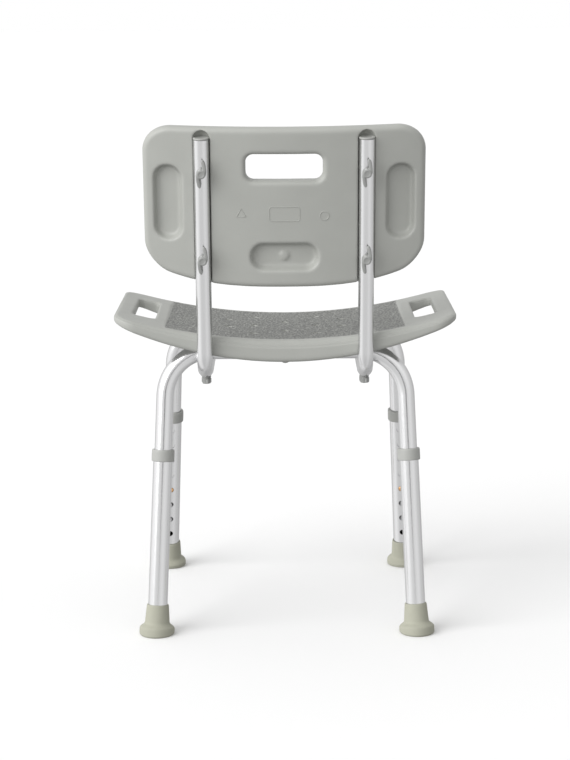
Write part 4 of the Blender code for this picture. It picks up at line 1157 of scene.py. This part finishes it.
def make_wing(turn):
    """One wing, standing off the hub's side like a propeller blade, its tip a round boss."""
    root, tip = Vector((WING_OFFSET, 0)), Vector((WING_TIP_OFFSET, WING_REACH))
    steps = 14
    rings = []
    spin = Matrix.Rotation(turn, 3, "Z")
    for step in range(steps + 1):
        share = step / steps
        end = math.sqrt(max(1 - (2 * share - 1) ** 2, 0.02))
        bow = 0.0010 * math.sin(math.pi * share)
        reach = -WING_ROOT_R + share * (WING_REACH + WING_ROOT_R + WING_TIP_R)
        middle = root.lerp(tip, min(max(reach / WING_REACH, 0), 1)).x + bow
        wide = WING_ROOT_R + (WING_TIP_R - WING_ROOT_R) * share**2
        wide *= 1 if 0.12 < share < 0.84 else end * 1.35
        low = WING_BOTTOM + 0.0020 * (1 - math.sin(math.pi * min(share, 0.5)))
        high = WING_TOP - 0.0022 * share**2
        outline = rounded_outline(wide, (high - low) / 2, 0.0016, 0.0016, 4, 1)
        centre = (high + low) / 2
        rings.append([spin @ Vector((middle + x, reach, centre + z)) for x, z in outline])
    return ringed("wing", rings)


def knob_mesh():
    """The moulded head: a hub with a dished top, two wings, and a blind bore for the stud."""
    hub = [
        (0, KNOB_HEIGHT - 0.0006),
        (0.0030, KNOB_HEIGHT - 0.0006),
        (0.0037, KNOB_HEIGHT),
        (0.0054, KNOB_HEIGHT),
        (0.0062, KNOB_HEIGHT - 0.0012),
        (0.0063, 0.0026),
        (KNOB_R, 0.0020),
        (KNOB_R, 0.0),
        (0, 0.0),
    ]
    knob = add("knob", turned_mesh("knob", rounded(hub, 0.0006), SMALL_SIDES))
    wings = [make_wing(turn) for turn in (0, math.pi)]
    for wing in wings:
        boolean(knob, wing, "UNION")
    soften(knob, KNOB_VOXEL, 3)
    finished(knob, cutters=wings)
    bore = cylinder("bore", STUD_R + GAP, -GAP, STUD_IN_KNOB + GAP, Matrix.Identity(4))
    carved(knob, [bore], KNOB_PLASTIC.material)
    mesh = knob.data
    bpy.data.objects.remove(knob, do_unlink=True)
    return mesh


def make_knobs():
    knob = knob_mesh()
    for screw in screws_of("seat", "back"):
        piece = finished(add(f"{screw}_knob", knob.copy(), screw_matrix(screw)))
        shown(piece, f"{screw}_screw", "knob_plastic", f"{screw}_wing_knob")


def dress_cad_nodes():
    """The small inner metal pieces keep their CAD shape and take the detailed metals."""
    looks = {"_stud": STEEL, "_insert": BRASS, "_snap_spring": STEEL}
    for name, obj in frame["nodes"].items():
        for ending, look in looks.items():
            if name.endswith(ending):
                obj.data.materials.clear()
                obj.data.materials.append(look.material)


# --- Studio ---

CAMERA_PLACE = (0.0006, 2.9517, 0.9439)  # in the leg-centred frame
CAMERA_PITCH = math.radians(11.56)
CAMERA_ROLL = math.radians(-0.35)
FOCAL_SHARE = 2000 / 760  # focal length as a share of the picture's longer side
SENSOR = 36.0

KEY_DIRECTION = (0.72, 0.50, 0.48)  # towards the light
KEY_STRENGTH = 1.85
KEY_SPREAD = math.radians(50)
MATT_BY_HEIGHT = ((-1.0, 0.15), (0.0, 0.80), (1.0, 0.76))  # (height of the direction, brightness)
MATT_SIDE_LIGHT = 0.35
GLOSSY_BY_HEIGHT = ((-1.0, 0.80), (0.0, 1.0), (0.5, 1.15), (1.0, 1.3))
# (degrees from the chair's rear towards its left side, brightness)
GLOSSY_RIGHT = ((-180, 0.60), (-130, 0.62), (-90, 0.75), (-41, 0.98), (0, 0.86))
GLOSSY_LEFT = ((35, 0.86), (60, 1.12), (85, 1.24), (110, 1.12), (135, 0.80), (180, 0.60))


def make_camera():
    data = bpy.data.cameras.new("camera")
    data.sensor_width = SENSOR
    data.lens = FOCAL_SHARE * SENSOR
    data.clip_end = 100
    forward = Vector((0, -math.cos(CAMERA_PITCH), -math.sin(CAMERA_PITCH)))
    turn = forward.to_track_quat("-Z", "Y").to_matrix().to_4x4()
    place = Vector(CAMERA_PLACE) + Vector((0, CHAIR_SHIFT, 0))
    matrix = Matrix.Translation(place) @ turn @ Matrix.Rotation(CAMERA_ROLL, 4, "Z")
    bpy.context.scene.camera = add("camera", data, matrix)


def stage_plane(name, half, matrix, colour):
    shape = bmesh.new()
    bmesh.ops.create_grid(shape, x_segments=1, y_segments=1, size=1)
    bmesh.ops.scale(shape, vec=(*half, 1), verts=shape.verts)
    plane = add(name, mesh_from(shape, name), matrix)
    look = Look(name, (colour, colour, colour), 0.9, specular=0.0)
    plane.data.materials.append(look.material)
    return plane


def dark_flag(name, place, aim, half, shade):
    """A board that only polished surfaces see, which draws a dark band down the tubes."""
    away = Vector(aim) - Vector(place)
    turn = away.to_track_quat("Z", "Y").to_matrix().to_4x4()
    flag = stage_plane(name, half, Matrix.Translation(place) @ turn, shade)
    flag.visible_camera = False
    flag.visible_diffuse = False
    flag.visible_shadow = False


class World(Nodes):
    """The studio's soft surroundings: how bright each direction is, for matt and for glossy surfaces."""

    def __init__(self):
        self.world = bpy.data.worlds.new("studio")
        super().__init__(self.world)
        self.x, self.y, self.z = self.split(self.node("ShaderNodeTexCoord").outputs["Generated"])

    def ramp(self, value, low, high, stops):
        """A brightness that follows value through (value, brightness) stops."""
        share = self.maths("DIVIDE", self.maths("SUBTRACT", value, low), high - low)
        node = self.node("ShaderNodeValToRGB")
        node.color_ramp.interpolation = "EASE"
        elements = node.color_ramp.elements
        while len(elements) < len(stops):
            elements.new(0.5)
        for element, (at, bright) in zip(elements, stops):
            element.position = (at - low) / (high - low)
            element.color = (bright, bright, bright, 1)
        self.links.new(share, node.inputs["Fac"])
        return node.outputs["Color"]

    def matt(self):
        height = self.ramp(self.z, -1, 1, MATT_BY_HEIGHT)
        side = self.maths("MULTIPLY_ADD", self.x, MATT_SIDE_LIGHT, 1)
        return self.maths("MULTIPLY", height, side)

    def glossy(self):
        turn = self.maths("ARCTAN2", self.x, self.y)
        stops = [(math.radians(degrees), bright) for degrees, bright in GLOSSY_RIGHT + GLOSSY_LEFT]
        around = self.ramp(turn, -math.pi, math.pi, stops)
        return self.maths("MULTIPLY", around, self.ramp(self.z, -1, 1, GLOSSY_BY_HEIGHT))

    def finish(self):
        ray = self.node("ShaderNodeLightPath").outputs
        matt, glossy = self.matt(), self.glossy()
        shine = self.maths("MULTIPLY", ray["Is Glossy Ray"], self.maths("SUBTRACT", glossy, matt))
        seen = self.maths("ADD", matt, shine)
        strength = self.maths("MAXIMUM", seen, ray["Is Camera Ray"])
        self.links.new(strength, self.nodes["Background"].inputs["Strength"])
        self.nodes["Background"].inputs["Color"].default_value = (1, 1, 1, 1)
        bpy.context.scene.world = self.world


def sun_light(direction, strength, spread):
    data = bpy.data.lights.new("key", "SUN")
    data.energy = strength
    data.angle = spread
    add("key", data, Vector(direction).to_track_quat("Z", "Y").to_matrix().to_4x4())


def make_studio():
    bpy.context.scene.view_settings.view_transform = "Standard"
    World().finish()
    floor = stage_plane("floor", (30.0, 30.0), Matrix.Identity(4), 0.98)
    floor.visible_diffuse = False
    floor.visible_glossy = False
    sun_light(KEY_DIRECTION, KEY_STRENGTH, KEY_SPREAD)
    dark_flag("camera_side_flag", (-0.10, 4.5, 1.6), (0, 0, 0.5), (0.42, 1.3), 0.02)


make_seat()
make_back()
make_raised_lines()
make_frames()
make_arms()
for end_name in ENDS:
    for side_name in SIDES:
        make_leg(f"{end_name}_{side_name}")
make_knobs()
dress_cad_nodes()
make_camera()
make_studio()
